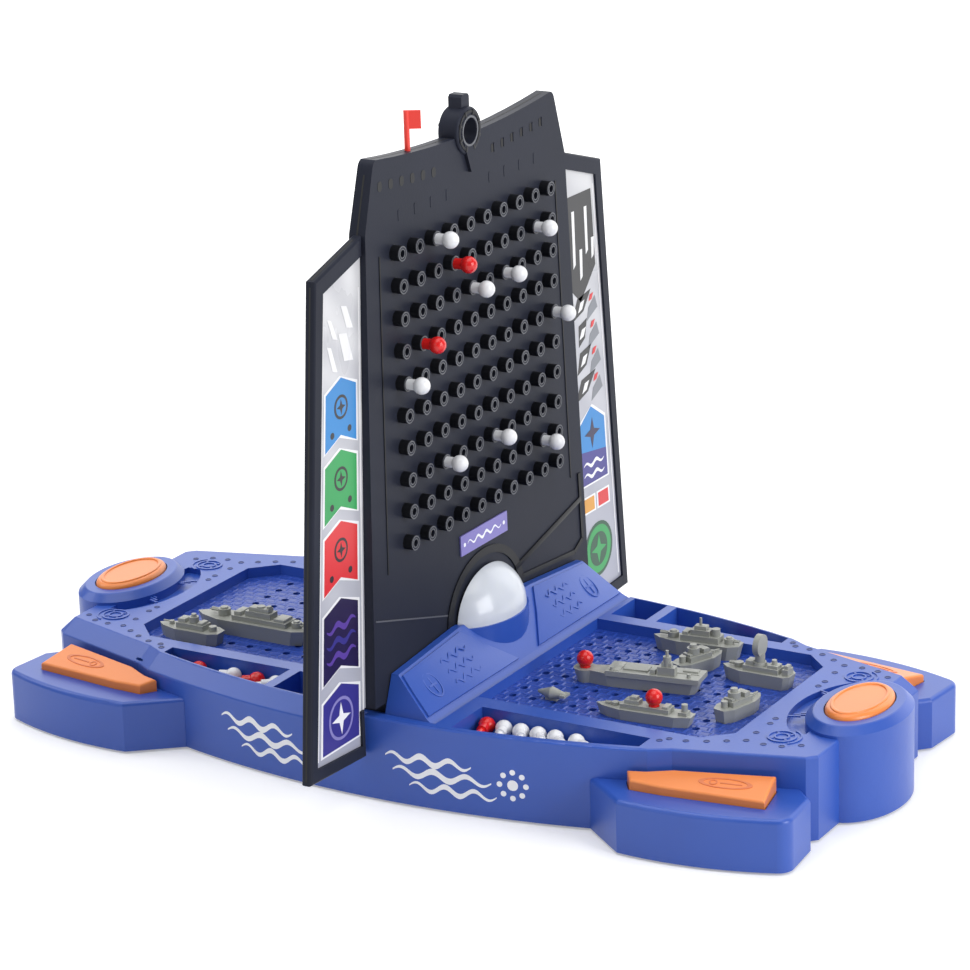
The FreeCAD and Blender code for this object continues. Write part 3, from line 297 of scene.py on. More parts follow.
ripples.inputs["Mortar Smooth"].default_value = 0.9
# The low patches between the raised ripple lines take a darker blue: painted shade.
ripple_shade_tint = sea_tree.nodes.new("ShaderNodeMixRGB")
ripple_shade_tint.inputs["Color1"].default_value = from_screen(39, 69, 160)
sea_surface = sea_tree.nodes["Principled BSDF"]
sea_relief = sea_surface.inputs["Normal"].links[0].from_node
sea_tone = sea_surface.inputs["Base Color"].links[0].from_node
ripple_relief = sea_tree.nodes.new("ShaderNodeBump")
ripple_relief.inputs["Strength"].default_value = 0.45
ripple_relief.inputs["Distance"].default_value = 0.0008
sea_tree.links.new(ripple_place.outputs["Object"], ripple_bend.inputs["Vector"])
sea_tree.links.new(ripple_place.outputs["Object"], ripple_shift.inputs["Color1"])
sea_tree.links.new(ripple_bend.outputs["Color"], ripple_shift.inputs["Color2"])
sea_tree.links.new(ripple_shift.outputs["Color"], ripples.inputs["Vector"])
sea_tree.links.new(ripples.outputs["Fac"], ripple_shade_tint.inputs["Fac"])
sea_tree.links.new(sea_tone.outputs["Color"], ripple_shade_tint.inputs["Color2"])
sea_tree.links.new(ripple_shade_tint.outputs["Color"], sea_surface.inputs["Base Color"])
sea_tree.links.new(ripples.outputs["Fac"], ripple_relief.inputs["Height"])
sea_tree.links.new(sea_relief.outputs["Normal"], ripple_relief.inputs["Normal"])
sea_tree.links.new(ripple_relief.outputs["Normal"], sea_surface.inputs["Normal"])
dress(sea_blue, "ocean_floor_east", "ocean_floor_west")

# Screen socket. The sloped ridge across the base, in the base's own blue plastic. Each slope
# carries two raised panels with shallow moulded marks, one on either side of the lamp.
dress(shell_blue, "screen_socket")
ridge_top_half, ridge_knee_half, ridge_knee_z = 9.0, 24.5, 34.4
ridge_top_z, ridge_end_z, ridge_half_length, crown_half = 52.0, 47.5, 79.0, 28.2
ridge_run = ridge_knee_half - ridge_top_half
ramp_outline = ((0.9, 29.0), (7.0, 20.5), (15.0, 8.0), (15.0, 40.0), (15.0, 76.4), (8.0, 74.2),
                (0.9, 71.6), (0.9, 50.0))
ramp_foot, ramp_top = -0.6, 0.9
ramp_mark_foot, ramp_mark_top = 0.8, 1.05
wheel_out, wheel_along, wheel_rim, wheel_spoke = 8.2, 62.0, (3.6, 4.1), 2.6
ramp_line_width = 0.6
ramp_wave_start, ramp_wave_end, ramp_wave_out, ramp_wave_gap = 32, 50, 4.6, 3.4
ramp_wave_swing, ramp_wave_thick = 0.7, 1.0


def on_ramp(side, u, v, depth):
    """Lies on the slope: u is the way out from the ridge's top edge, v the way along it."""
    past_crown = max(0.0, (abs(v) - crown_half) / (ridge_half_length - crown_half))
    top_z = ridge_top_z - (ridge_top_z - ridge_end_z) * past_crown
    fall = (top_z - ridge_knee_z) / ridge_run
    steep = math.hypot(1.0, fall)
    return (side * (ridge_top_half + u + depth * fall / steep), side * v,
            top_z - u * fall + depth / steep)


def ramp_panels(mesh):
    for hand in hands:
        outline = [(out, hand * along) for out, along in ramp_outline]
        slab(mesh, outline, ramp_foot, ramp_top, soft=0.3)


def ramp_marks(mesh):
    for hand in hands:
        out, along = wheel_out, hand * wheel_along
        reach = hand * wheel_spoke
        ring(mesh, (out, along), *wheel_rim, ramp_mark_foot, ramp_mark_top, steps=32)
        for start, end in (((out - wheel_spoke, along), (out + wheel_spoke, along)),
                           ((out, along - reach), (out, along + reach))):
            slab(mesh, bar(start, end, ramp_line_width), ramp_mark_foot, ramp_mark_top)
        for k in range(3):
            row = ramp_wave_out + ramp_wave_gap * k
            ribbon = wave((hand * ramp_wave_start, row), (hand * ramp_wave_end, row),
                          ramp_wave_swing, waves_in_line, ramp_wave_thick)
            slab(mesh, [(b, a) for a, b in ribbon], ramp_mark_foot, ramp_mark_top)


add_both("ramp_panels", ramp_panels, on_ramp, shell_blue, "base")
add_both("ramp_marks", ramp_marks, on_ramp, shell_blue, "base")

# Lamp domes. Milky white moulded lenses on the socket, one on each side of the screen, each
# over a small red lamp.
lens_white = moulded_plastic("lens_white", (213, 218, 226), (205, 210, 219), 0.16, grain=0.0)
lens_surface = lens_white.node_tree.nodes["Principled BSDF"]
lens_surface.inputs["Subsurface Weight"].default_value = 0.25
lens_surface.inputs["Subsurface Radius"].default_value = (0.004, 0.004, 0.005)
dress(lens_white, "lamp_dome_east", "lamp_dome_west")
bulb_red = moulded_plastic("bulb_red", (200, 40, 30), (180, 30, 25), 0.15, grain=0.0)
dress(bulb_red, "lamp_bulbs")

# Buttons. Orange satin mouldings, each on a rubber dome. The oval ones have a raised lip
# round a shallow palm rest, the long raked ones a moulded oval ring.
button_orange = moulded_plastic("button_orange", (243, 144, 76), (236, 134, 66), 0.3)
dress(button_orange, "fire_button_east", "fire_button_west", "pad_button_east_near",
      "pad_button_east_far", "pad_button_west_near", "pad_button_west_far")
button_place, button_top = 167.0, 40.2
palm_inner, palm_outer, palm_stretch = 8.3, 9.4, 1.85
palm_foot, palm_rise, palm_soft = -0.4, 0.5, 0.4
for side, player in players:
    lip = bmesh.new()
    ring(lip, (0, 0), palm_inner, palm_outer, palm_foot, palm_rise, steps=64)
    upper = [e for e in lip.edges if all(v.co.z > 0 for v in e.verts)]
    rims = [e for e in upper if abs(e.verts[0].co.xy.length - e.verts[1].co.xy.length) < 0.01]
    bmesh.ops.bevel(lip, geom=rims, offset=palm_soft, segments=3, profile=0.5,
                    affect="EDGES", material=-1)
    bmesh.ops.scale(lip, vec=(1.0, palm_stretch, 1.0), verts=lip.verts)
    bmesh.ops.translate(lip, vec=(side * button_place, 0, button_top), verts=lip.verts)
    add_piece("fire_lip_" + player, lip, button_orange, "fire_" + player)
pad_mark = moulded_plastic("pad_mark", (226, 128, 80), (216, 118, 72), 0.4)
pad_middle = Vector((140.0, -66.0, 26.2))
pad_turn, pad_rake = math.radians(10.2), math.radians(11.7)
pad_lay = Matrix.Rotation(pad_turn, 3, "Z") @ Matrix.Rotation(pad_rake, 3, "X")
oval_foot, oval_rise, oval_bar_rise, oval_stretch = -0.3, 0.2, 0.18, 3.2
oval_rim, eye_rim, eye_place = (2.6, 3.2), (1.1, 1.6), (-4.6, 0)
oval_bar, oval_shift = bar((-2.0, 0), (6.4, 0), 0.6), (3.5, -0.5, 0)
for hand, reach in ((-1, "near"), (1, "far")):
    for side, player in players:
        oval = bmesh.new()
        ring(oval, (0, 0), *oval_rim, oval_foot, oval_rise, steps=40)
        bmesh.ops.scale(oval, vec=(oval_stretch, 1.0, 1.0), verts=oval.verts)
        ring(oval, eye_place, *eye_rim, oval_foot, oval_rise, steps=20)
        slab(oval, oval_bar, oval_foot, oval_bar_rise)
        bmesh.ops.translate(oval, vec=oval_shift, verts=oval.verts)
        bmesh.ops.rotate(oval, cent=(0, 0, 0), matrix=pad_lay, verts=oval.verts)
        bmesh.ops.translate(oval, vec=pad_middle, verts=oval.verts)
        bmesh.ops.scale(oval, vec=(side, -hand, 1), verts=oval.verts)
        pad = player + "_" + reach
        add_piece("pad_oval_" + pad, oval, pad_mark, "pad_" + pad)

# Switch domes. A hollow rubber cone under each button's stem, glued on its post.
dome_rubber = moulded_plastic("dome_rubber", (160, 160, 158), (140, 140, 138), 0.7)
dome_crown, dome_skin = 3.9, 0.9
fire_stroke, pad_stroke = 2.5, 2.0
for place, stroke in (("fire_{}_east", fire_stroke), ("fire_{}_west", fire_stroke),
                      ("pad_{}_east_near", pad_stroke), ("pad_{}_east_far", pad_stroke),
                      ("pad_{}_west_near", pad_stroke), ("pad_{}_west_far", pad_stroke)):
    low, high = (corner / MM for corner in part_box(place.format("switch")))
    foot, height = (high.x - low.x) / 2, high.z - low.z
    middle = Vector(((low.x + high.x) / 2, (low.y + high.y) / 2, low.z))
    outline = ((0, height), (dome_crown, height), (foot, 0), (foot - dome_skin, 0),
               (dome_crown - dome_skin, height - dome_skin), (0, height - dome_skin))
    cone = bmesh.new()
    section = [cone.verts.new((radius, 0, up)) for radius, up in outline]
    edges = [cone.edges.new(pair) for pair in zip(section, section[1:])]
    bmesh.ops.spin(cone, geom=section + edges, cent=(0, 0, 0), axis=(0, 0, 1),
                   angle=math.radians(360), steps=32, use_merge=True)
    bmesh.ops.remove_doubles(cone, verts=cone.verts, dist=0.001)
    bmesh.ops.translate(cone, vec=middle, verts=cone.verts)
    rubber = add_piece(place.format("rubber"), cone, dome_rubber, "base")
    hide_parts(place.format("switch"))
    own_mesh(rubber)

# Screen. Two charcoal half shells screwed back to back. Each face leans in a little towards
# the top and carries ribs, an arch over the lamp and rows of short slots, moulded with it. The
# ribs, the arch and the slots are drawn in black as painted shade, and the diagonal crease
# line in pale grey as painted highlight.
screen_charcoal = moulded_plastic("screen_charcoal", (42, 45, 57), (36, 39, 50), 0.4, gloss=0.1)
dress(screen_charcoal, "screen_shell_east", "screen_shell_west")
# Black for the slots and the seam: painted shade in the slot recesses and in the parting gap.
gap_shade_black = moulded_plastic("gap_shade_black", (22, 23, 26), (16, 17, 19), 0.6)
# Black for the ribs, the arch and the crest ribs: painted shade on relief moulded in the charcoal
# face.
rib_shade_black = moulded_plastic("rib_shade_black", (27, 28, 32), (22, 23, 27), 0.36, gloss=0.2)
# Pale grey for the crease line, the tube rims and the crest bead: painted highlight.
highlight_grey = moulded_plastic("highlight_grey", (92, 94, 101), (76, 78, 85), 0.38)
screen_top, screen_half_top = 245.3, 3.2
screen_lean = math.tan(math.radians(0.65))
relief_foot = -0.3
arch_rim, arch_squash, arch_foot_z, arch_sink, arch_rise = (26.4, 30.2), 0.86, 50.0, -0.4, 0.5
beam, beam_rise, beam_soft = bar((23.5, 60.0), (78.6, 73.0), 2.3), 0.6, 0.2
brace_path = ((29.0, 55.0), (72.0, 51.8), (79.0, 55.6), (77.6, 84.0))
brace_width, brace_rise = 1.8, 0.55
side_lines = (((-70.6, 87.0), (-66.2, 209.0)), ((71.2, 84.0), (66.2, 209.0)))
side_line_width, side_line_rise = 0.7, 0.3
slots_in_row, slot_rise = 6, 0.1
near_slot_y, near_slot_z, near_slot_pitch, near_slot_climb = -63.6, 232.0, 7.65, 0.56
far_slot_y, far_slot_z, far_slot_pitch, far_slot_climb = 18.4, 232.2, 7.5, 0.5
near_slot_size, far_slot_size = (2.9, 3.8, 1.2), (1.8, 3.4, 0.8)
sliver_y, sliver_size, sliver_rise = 20.0, (1.2, 3.6, 0.5), 0.3
dashes_in_row, dash_y, dash_z, dash_pitch = 4, 16.0, 221.3, 11.6
dash_size, dash_rise = (2.2, 4.4, 0.7), 0.12
crease_line, crease_rise = bar((-81.0, 71.6), (-29.5, 57.2), 0.55), 0.35


def on_screen(side, u, v, depth):
    return side * (screen_half_top + (screen_top - v) * screen_lean + depth), side * u, v


# Arch, beam, braces and side lines, all drawn in black as painted shade.
def screen_ribs(mesh):
    ring(mesh, (0, 0), *arch_rim, arch_sink, arch_rise, steps=48, start=0, turn=180)
    bmesh.ops.scale(mesh, vec=(1.0, arch_squash, 1.0), verts=mesh.verts)
    bmesh.ops.translate(mesh, vec=(0, arch_foot_z, 0), verts=mesh.verts)
    slab(mesh, beam, relief_foot, beam_rise, soft=beam_soft)
    for start, end in zip(brace_path, brace_path[1:]):
        slab(mesh, bar(start, end, brace_width), relief_foot, brace_rise)
    for start, end in side_lines:
        slab(mesh, bar(start, end, side_line_width), relief_foot, side_line_rise)


# Each slot is a flat black plate: painted shade standing in for its recess.
def screen_slots(mesh):
    for k in range(slots_in_row):
        near_z = near_slot_z + near_slot_climb * (slots_in_row - 1 - k)
        near_slot = rounded((near_slot_y + near_slot_pitch * k, near_z), *near_slot_size)
        slab(mesh, near_slot, relief_foot, slot_rise)
        far_z = far_slot_z + far_slot_climb * k
        far_slot = rounded((far_slot_y + far_slot_pitch * k, far_z), *far_slot_size)
        slab(mesh, far_slot, relief_foot, slot_rise)


def screen_dashes(mesh):
    for k in range(slots_in_row):
        spot = (sliver_y + far_slot_pitch * k, far_slot_z + far_slot_climb * k)
        slab(mesh, rounded(spot, *sliver_size), relief_foot, sliver_rise)
    for hand in hands:
        for k in range(dashes_in_row):
            dash = rounded((hand * (dash_y + dash_pitch * k), dash_z), *dash_size)
            slab(mesh, dash, relief_foot, dash_rise)


# The diagonal crease, drawn in pale grey as painted highlight along its lit side.
def near_crease(mesh):
    slab(mesh, crease_line, relief_foot, crease_rise)


add_both("screen_ribs", screen_ribs, on_screen, rib_shade_black, "screen")
add_both("screen_slots", screen_slots, on_screen, gap_shade_black, "screen")
add_both("screen_dashes", screen_dashes, on_screen, screen_charcoal, "screen")
add_both("near_crease", near_crease, on_screen, highlight_grey, "screen")

# Parting line. The two half shells meet along the screen's free edges, from the crest down to
# the wings' feet. The shadow in the seam is painted in as a fine black strip.
parting = bmesh.new()
top_dip, top_dip_half, top_half = 4.0, 67.0, 63.0
dip_radius = (top_dip_half ** 2 + top_dip ** 2) / (2 * top_dip)
dip_centre_z = screen_top - top_dip + dip_radius
crest_gap, top_steps = 9.0, 10
line_width, line_half = 0.12, 0.35
side_edges = (((68.6, 240.0), (75.0, 218.8)), ((78.0, 217.9), (106.6, 209.5)),
              ((107.7, 207.0), (124.9, 22.0)))
edge_runs = []
for hand in hands:
    stops = [crest_gap + (top_half - crest_gap) * k / top_steps for k in range(top_steps + 1)]
    edge_runs.append([(hand * y, dip_centre_z - math.sqrt(dip_radius ** 2 - y ** 2)) for y in stops])
    for edge in side_edges:
        edge_runs.append([(hand * y, z) for y, z in edge])
for run in edge_runs:
    for start, end in zip(run, run[1:]):
        slab(parting, bar(start, end, line_width), -line_half, line_half)
for vert in parting.verts:
    vert.co = (vert.co.z, vert.co.x, vert.co.y)
add_piece("parting_line", parting, gap_shade_black, "screen")

# Peg tubes. A ten by ten field of short sleeves moulded with each face, drawn in black as
# painted shade. Each sleeve's end and mouth carry thin pale grey rings: painted highlight on the
# rims.
# Black for the sleeves: painted shade, darker than the charcoal face they are moulded with.
tube_shade_black = moulded_plastic("tube_shade_black", (25, 26, 30), (20, 21, 25), 0.36, gloss=0.2)
tube_pitch, tubes_in_row, first_row_z = 12.5, 10, 95.8
tube_places = [(tube_pitch * (column - (tubes_in_row - 1) / 2), first_row_z + tube_pitch * row)
               for row in range(tubes_in_row) for column in range(tubes_in_row)]
sleeve_rim, mouth_rim, lip_rim = (2.7, 2.95), (1.5, 1.9), (2.45, 2.9)
sleeve_end, mouth_low, mouth_high, lip_high = 3.7, 3.75, 4.0, 4.05
tube_sides = 14


def tube_sleeves(mesh):
    for spot in tube_places:
        ring(mesh, spot, *sleeve_rim, relief_foot, sleeve_end, steps=tube_sides)


# Pale grey rings on each tube's end and mouth: painted highlight on the rims.
def tube_ends(mesh):
    for spot in tube_places:
        ring(mesh, spot, *mouth_rim, mouth_low, mouth_high, steps=tube_sides)
        ring(mesh, spot, *lip_rim, sleeve_end, lip_high, steps=tube_sides)


add_both("tube_sleeves", tube_sleeves, on_screen, tube_shade_black, "screen")
add_both("tube_ends", tube_ends, on_screen, highlight_grey, "screen")

# Crest. A ring with a knob at the top edge of the screen; a raised bead and eight small
# ribs are moulded round the ring on both faces. The bead is drawn in pale grey as painted
# highlight, and the ribs and their band in black as painted shade.
crest_face, crest_z, crest_ribs_count = 4.4, 242.8, 8
bead_rim, band_rim, crest_rib = (5.1, 5.9), (6.9, 7.9), (6.2, 8.2)
bead_rise, band_rise, crest_rib_rise, crest_rib_width = 0.45, 0.25, 0.4, 1.2


def on_crest(side, u, v, depth):
    return side * (crest_face + depth), side * u, crest_z + v


# The bead, drawn in pale grey as painted highlight.
def crest_bead(mesh):
    ring(mesh, (0, 0), *bead_rim, relief_foot, bead_rise, steps=40)


# Band and ribs in black: painted shade.
def crest_ribs(mesh):
    ring(mesh, (0, 0), *band_rim, relief_foot, band_rise, steps=40)
    for k in range(crest_ribs_count):
        inner, outer = (at_angle((0, 0), reach, 22.5 + 45 * k) for reach in crest_rib)
        slab(mesh, bar(inner, outer, crest_rib_width), relief_foot, crest_rib_rise, soft=0.1)


add_both("crest_bead", crest_bead, on_crest, highlight_grey, "screen")
add_both("crest_ribs", crest_ribs, on_crest, rib_shade_black, "screen")

# Wing labels. Glossy printed sheets glued in the wing frames: a silver ground with a white
# outline, pennant panels, waves and a compass star, darker towards the foot. Pale diagonal
# streaks of painted reflection lighten the ground, more strongly towards the top.
label_print = moulded_plastic("label_print", (204, 205, 210), (188, 190, 196), 0.28, grain=0.01)
label_tree = label_print.node_tree
label_place = label_tree.nodes.new("ShaderNodeTexCoord")
label_axes = label_tree.nodes.new("ShaderNodeSeparateXYZ")
label_height = label_tree.nodes.new("ShaderNodeMapRange")
label_height.inputs["From Min"].default_value = 0.022
label_height.inputs["From Max"].default_value = 0.212
label_fade = label_tree.nodes.new("ShaderNodeValToRGB")
label_fade.color_ramp.elements[0].position = 0.05
label_fade.color_ramp.elements[0].color = from_screen(168, 170, 184)
label_fade.color_ramp.elements[1].position = 0.9
label_fade.color_ramp.elements[1].color = from_screen(190, 191, 196)
# Pale diagonal streaks screened over the ground, stronger with height: painted reflection.
label_reflection_streaks = label_tree.nodes.new("ShaderNodeTexWave")
label_reflection_streaks.bands_direction = "DIAGONAL"
label_reflection_streaks.inputs["Scale"].default_value = 22.0
label_reflection_streaks.inputs["Distortion"].default_value = 3.5
label_reflection_streaks.inputs["Detail"].default_value = 2.0
label_mix = label_tree.nodes.new("ShaderNodeMixRGB")
label_mix.blend_type = "SCREEN"
label_share = label_tree.nodes.new("ShaderNodeMath")
label_share.operation = "MULTIPLY"
label_share.inputs[1].default_value = 0.3
label_surface = label_tree.nodes["Principled BSDF"]
label_tree.links.new(label_place.outputs["Object"], label_axes.inputs["Vector"])
label_tree.links.new(label_place.outputs["Object"], label_reflection_streaks.inputs["Vector"])
label_tree.links.new(label_axes.outputs["Z"], label_height.inputs["Value"])
label_tree.links.new(label_height.outputs["Result"], label_fade.inputs["Fac"])
label_tree.links.new(label_fade.outputs["Color"], label_mix.inputs["Color1"])
label_tree.links.new(label_reflection_streaks.outputs["Color"], label_mix.inputs["Color2"])
label_tree.links.new(label_height.outputs["Result"], label_share.inputs[0])
label_tree.links.new(label_share.outputs["Value"], label_mix.inputs["Fac"])
label_tree.links.new(label_mix.outputs["Color"], label_surface.inputs["Base Color"])
dress(label_print, "wing_labels_east", "wing_labels_west")
label_face, ink_step, ink_thick = 1.1, 0.04, 0.05
inner_edge, outer_edge = ((84.0, 37.5), (75.0, 218.8)), ((120.0, 25.6), (102.5, 203.7))
outline_foot, outline_head, outline_width = 27.5, 200.0, 0.9
panel_edge_share, panel_edge = 0.035, 0.8
near_wing, far_wing = hands
inks = {}


def edge_y(edge, z):
    """Where a straight edge between two (y, z) points stands at a height."""
    (foot_y, foot_z), (head_y, head_z) = edge
    return foot_y + (head_y - foot_y) * (z - foot_z) / (head_z - foot_z)


def wing_y(share, z):
    """Place across a wing label: share 0 is its inner edge and 1 its outer edge."""
    inner, outer = edge_y(inner_edge, z), edge_y(outer_edge, z)
    return inner + (outer - inner) * share


def across(points):
    return [(wing_y(s, z), z) for s, z in points]


def ink(colour, wing, outline, layer):
    """Prints an outline in one colour on the same wing of both players' faces."""
    if colour not in inks:
        inks[colour] = bmesh.new()
    for side, player in players:
        sheet = bmesh.new()
        slab(sheet, outline, ink_step * layer, ink_step * layer + ink_thick)
        for vert in sheet.verts:
            vert.co = (side * (label_face + vert.co.z), side * wing * vert.co.x, vert.co.y)
        flat = bpy.data.meshes.new("sheet")
        sheet.to_mesh(flat)
        sheet.free()
        inks[colour].from_mesh(flat)
        bpy.data.meshes.remove(flat)


def medallion(share, z, radius):
    return rounded((wing_y(share, z), z), 2 * radius, 2 * radius, 0.98 * radius, steps=8)


def star(share, z, long, short):
    middle = (wing_y(share, z), z)
    return [at_angle(middle, short if k % 2 else long, 90 + 45 * k) for k in range(8)]


def ripple_ribbon(shares, z, swing, thick):
    return wave(*across([(share, z) for share in shares]), swing, 2, thick)


def pennant(low, tall, notch=4.5):
    """Outline of a pennant panel with a notched foot and a pointed head."""
    return [(0.14, low), (0.5, low + notch), (0.86, low), (0.86, low + tall - notch),
            (0.5, low + tall), (0.14, low + tall - notch)]


def panel(colour, wing, points):
    """A coloured panel with a thin white outline."""
    middle_share = sum(s for s, z in points) / len(points)
    middle_z = sum(z for s, z in points) / len(points)
    grown = [(s + math.copysign(panel_edge_share, s - middle_share),
              z + math.copysign(panel_edge, z - middle_z)) for s, z in points]
    ink("white", wing, across(grown), 1)
    ink(colour, wing, across(points), 2)


for wing in hands:
    for share in (0.05, 0.95):
        foot, head = across([(share, outline_foot), (share, outline_head)])
        ink("white", wing, bar(foot, head, outline_width), 1)

for low, colour in ((143.5, "sky"), (116.5, "green"), (89.5, "red")):
    panel(colour, near_wing, pennant(low, 26.0))
    badge_z = low + 15.0
    ink("black", near_wing, medallion(0.5, badge_z, 4.6), 3)
    ink(colour, near_wing, medallion(0.5, badge_z, 3.5), 4)
    ink("black", near_wing, star(0.5, badge_z, 3.0, 1.1), 5)
    for share in (0.3, 0.7):
        ink("black", near_wing, medallion(share, low + 5.6, 1.3), 3)
panel("night", near_wing, pennant(55.5, 30.5))
for k, colour in enumerate(("violet", "indigo", "violet")):
    ink(colour, near_wing, ripple_ribbon((0.2, 0.8), 64.0 + 5.8 * k, 1.2, 2.6), 3)
panel("indigo", near_wing, [(0.14, 28.5), (0.86, 28.5), (0.86, 48.5), (0.5, 53.0), (0.14, 48.5)])
compass_z = 39.5
ink("lilac", near_wing, medallion(0.5, compass_z, 8.4), 3)
ink("indigo", near_wing, medallion(0.5, compass_z, 7.2), 4)
ink("white", near_wing, star(0.5, compass_z, 6.4, 2.0), 5)
for low, lean, tall in ((186.0, 0.0, 10.0), (174.0, 0.06, 12.0)):
    ink("white", near_wing, across([(0.2, low), (0.36 + lean, low + 1), (0.5 + lean, low + tall),
                                    (0.36, low + tall - 1)]), 2)
    ink("white", near_wing, across([(0.58, low - 2), (0.7, low - 1), (0.84, low + tall - 3),
                                    (0.74, low + tall - 4)]), 2)

ink("black", far_wing, across([(0.12, 160.0), (0.4, 153.0), (0.88, 166.0), (0.88, 198.5),
                               (0.12, 198.5)]), 1)
for share, low, tall in ((0.24, 168.0, 24.0), (0.42, 162.0, 13.0), (0.62, 172.0, 20.0),
                         (0.78, 169.0, 9.0)):
    ink("white", far_wing, across([(share, low), (share + 0.07, low + 1.5),
                                   (share + 0.1, low + tall), (share + 0.02, low + tall)]), 2)
for k in range(4):
    low = 111.0 + 11.6 * k
    tilt = 0.08 * (k % 3)
    ink("black", far_wing, across([(0.12 + tilt, low), (0.46, low + 3), (0.7 - tilt, low + 11),
                                   (0.3, low + 9)]), 1)
    ink("grey", far_wing, across([(0.54, low - 2), (0.86, low + 2), (0.8, low + 7.5),
                                  (0.6, low + 3.4)]), 1)
    ink("white", far_wing, across([(0.3, low + 3), (0.42, low + 4), (0.5, low + 7.6),
                                   (0.38, low + 7)]), 2)
    ink("red", far_wing, across([(0.62, low + 6), (0.7, low + 6.4), (0.76, low + 9),
                                 (0.66, low + 8.6)]), 3)
panel("sky", far_wing, [(0.16, 74.0), (0.84, 74.0), (0.84, 100.0), (0.5, 107.0), (0.16, 100.0)])
ink("indigo", far_wing, across([(0.16, 74.0), (0.84, 74.0), (0.84, 86.0), (0.16, 89.0)]), 3)
for ripple_z in (77.6, 82.4):
    ink("white", far_wing, ripple_ribbon((0.24, 0.76), ripple_z, 0.9, 1.7), 4)
ink("night", far_wing, star(0.5, 95.5, 6.6, 2.2), 4)
panel("amber", far_wing, [(0.2, 62.0), (0.46, 62.0), (0.46, 68.0), (0.2, 68.0)])
panel("red", far_wing, [(0.56, 62.0), (0.82, 62.0), (0.82, 68.0), (0.56, 68.0)])
seal_z = 43.5
ink("deep_green", far_wing, medallion(0.5, seal_z, 12.0), 1)
ink("green", far_wing, medallion(0.5, seal_z, 10.4), 2)
ink("deep_green", far_wing, medallion(0.5, seal_z, 7.4), 3)
ink("green", far_wing, star(0.5, seal_z, 6.4, 2.2), 4)
ink_tones = {"white": (244, 244, 247), "black": (26, 26, 32), "grey": (128, 132, 140),
             "sky": (34, 134, 206), "green": (34, 158, 82), "red": (220, 40, 46),
             "violet": (92, 64, 158), "indigo": (58, 52, 138), "lilac": (140, 134, 196),
             "night": (34, 22, 68), "deep_green": (20, 78, 54), "amber": (226, 160, 60)}
for colour, sheet in inks.items():
    tone = ink_tones[colour]
    dim = [0.93 * c for c in tone]
    ink_mat = moulded_plastic("ink_" + colour, tone, dim, 0.28, grain=0.01)
    add_piece("wing_ink_" + colour, sheet, ink_mat, "screen")

# Blank plate. A small lavender printed strip glued below the peg field on each face, with a
# plain white line.
plate_lavender = moulded_plastic("plate_lavender", (136, 128, 196), (116, 106, 182), 0.35)
dress(plate_lavender, "name_plates")
plate_z, plate_ink_foot, plate_ink_top = 81.8, 0.55, 0.65
plate_wave_half, plate_dot_y, plate_dot_size = 13.0, 15.2, (1.6, 1.6, 0.75)


def plate_line(mesh):
    ribbon = wave((-plate_wave_half, plate_z), (plate_wave_half, plate_z), 0.9, 4, 1.2)
    slab(mesh, ribbon, plate_ink_foot, plate_ink_top)
    for hand in hands:
        dot = rounded((hand * plate_dot_y, plate_z), *plate_dot_size)
        slab(mesh, dot, plate_ink_foot, plate_ink_top)


add_both("plate_line", plate_line, on_screen, print_white, "screen")

# Pegs and flag. Small glossy mouldings in white and red; the flag is a warmer red. Pegs stand
# in the tubes and ships or lie in the troughs, and the flag plugs into the screen's top edge.
peg_white = moulded_plastic("peg_white", (234, 235, 238), (224, 225, 229), 0.22, grain=0.02)
dress(peg_white, "screen_pegs_white", "trough_pegs_east_near_white", "trough_pegs_east_far_white",
      "trough_pegs_west_near_white")
peg_red = moulded_plastic("peg_red", (226, 34, 32), (208, 26, 28), 0.22, grain=0.02)
dress(peg_red, "screen_pegs_red", "carrier_peg", "long_ship_peg", "trough_pegs_east_near_red",
      "trough_pegs_east_far_red", "trough_pegs_west_near_red")
flag_red = moulded_plastic("flag_red", (238, 62, 50), (226, 50, 42), 0.3, grain=0.02)
dress(flag_red, "signal_flag")

# Ships. Pale grey satin mouldings that stand loose on the sea, each with fine deck work
# moulded on its hull: houses, drums and gun barrels.
ship_grey = moulded_plastic("ship_grey", (158, 160, 154), (145, 147, 141), 0.4)
dress(ship_grey, "carrier_ship", "long_ship", "radar_ship", "cruiser_ship", "patrol_boat_outer",
      "patrol_boat_inner", "midget_sub", "west_large_ship", "west_small_ship")
sea_level = 29.7
drum_taper, gun_breech, gun_muzzle = 0.85, 0.4, 0.3


def fit_out(name, body, place, heading, houses, drums, guns):
    """Deck work of one ship: softened houses, round drums and gun barrels, in ship's own axes."""
    mesh = bmesh.new()
    for x0, x1, y0, y1, z0, z1 in houses:
        slab(mesh, [(x0, y0), (x1, y0), (x1, y1), (x0, y1)], z0, z1, soft=0.2)
    for x, y, radius, z0, z1 in drums:
        bmesh.ops.create_cone(mesh, cap_ends=True, segments=16, radius1=radius,
                              radius2=drum_taper * radius, depth=z1 - z0,
                              matrix=Matrix.Translation((x, y, (z0 + z1) / 2)))
    for x, y, z, length in guns:
        lay = Matrix.Translation((x + length / 2, y, z)) @ Matrix.Rotation(math.pi / 2, 4, "Y")
        bmesh.ops.create_cone(mesh, cap_ends=True, segments=10, radius1=gun_breech,
                              radius2=gun_muzzle, depth=abs(length), matrix=lay)
    turn = Matrix.Rotation(math.radians(heading), 3, "Z")
    bmesh.ops.rotate(mesh, cent=(0, 0, 0), matrix=turn, verts=mesh.verts)
    bmesh.ops.translate(mesh, vec=(*place, sea_level), verts=mesh.verts)
    add_piece(name, mesh, ship_grey, body)


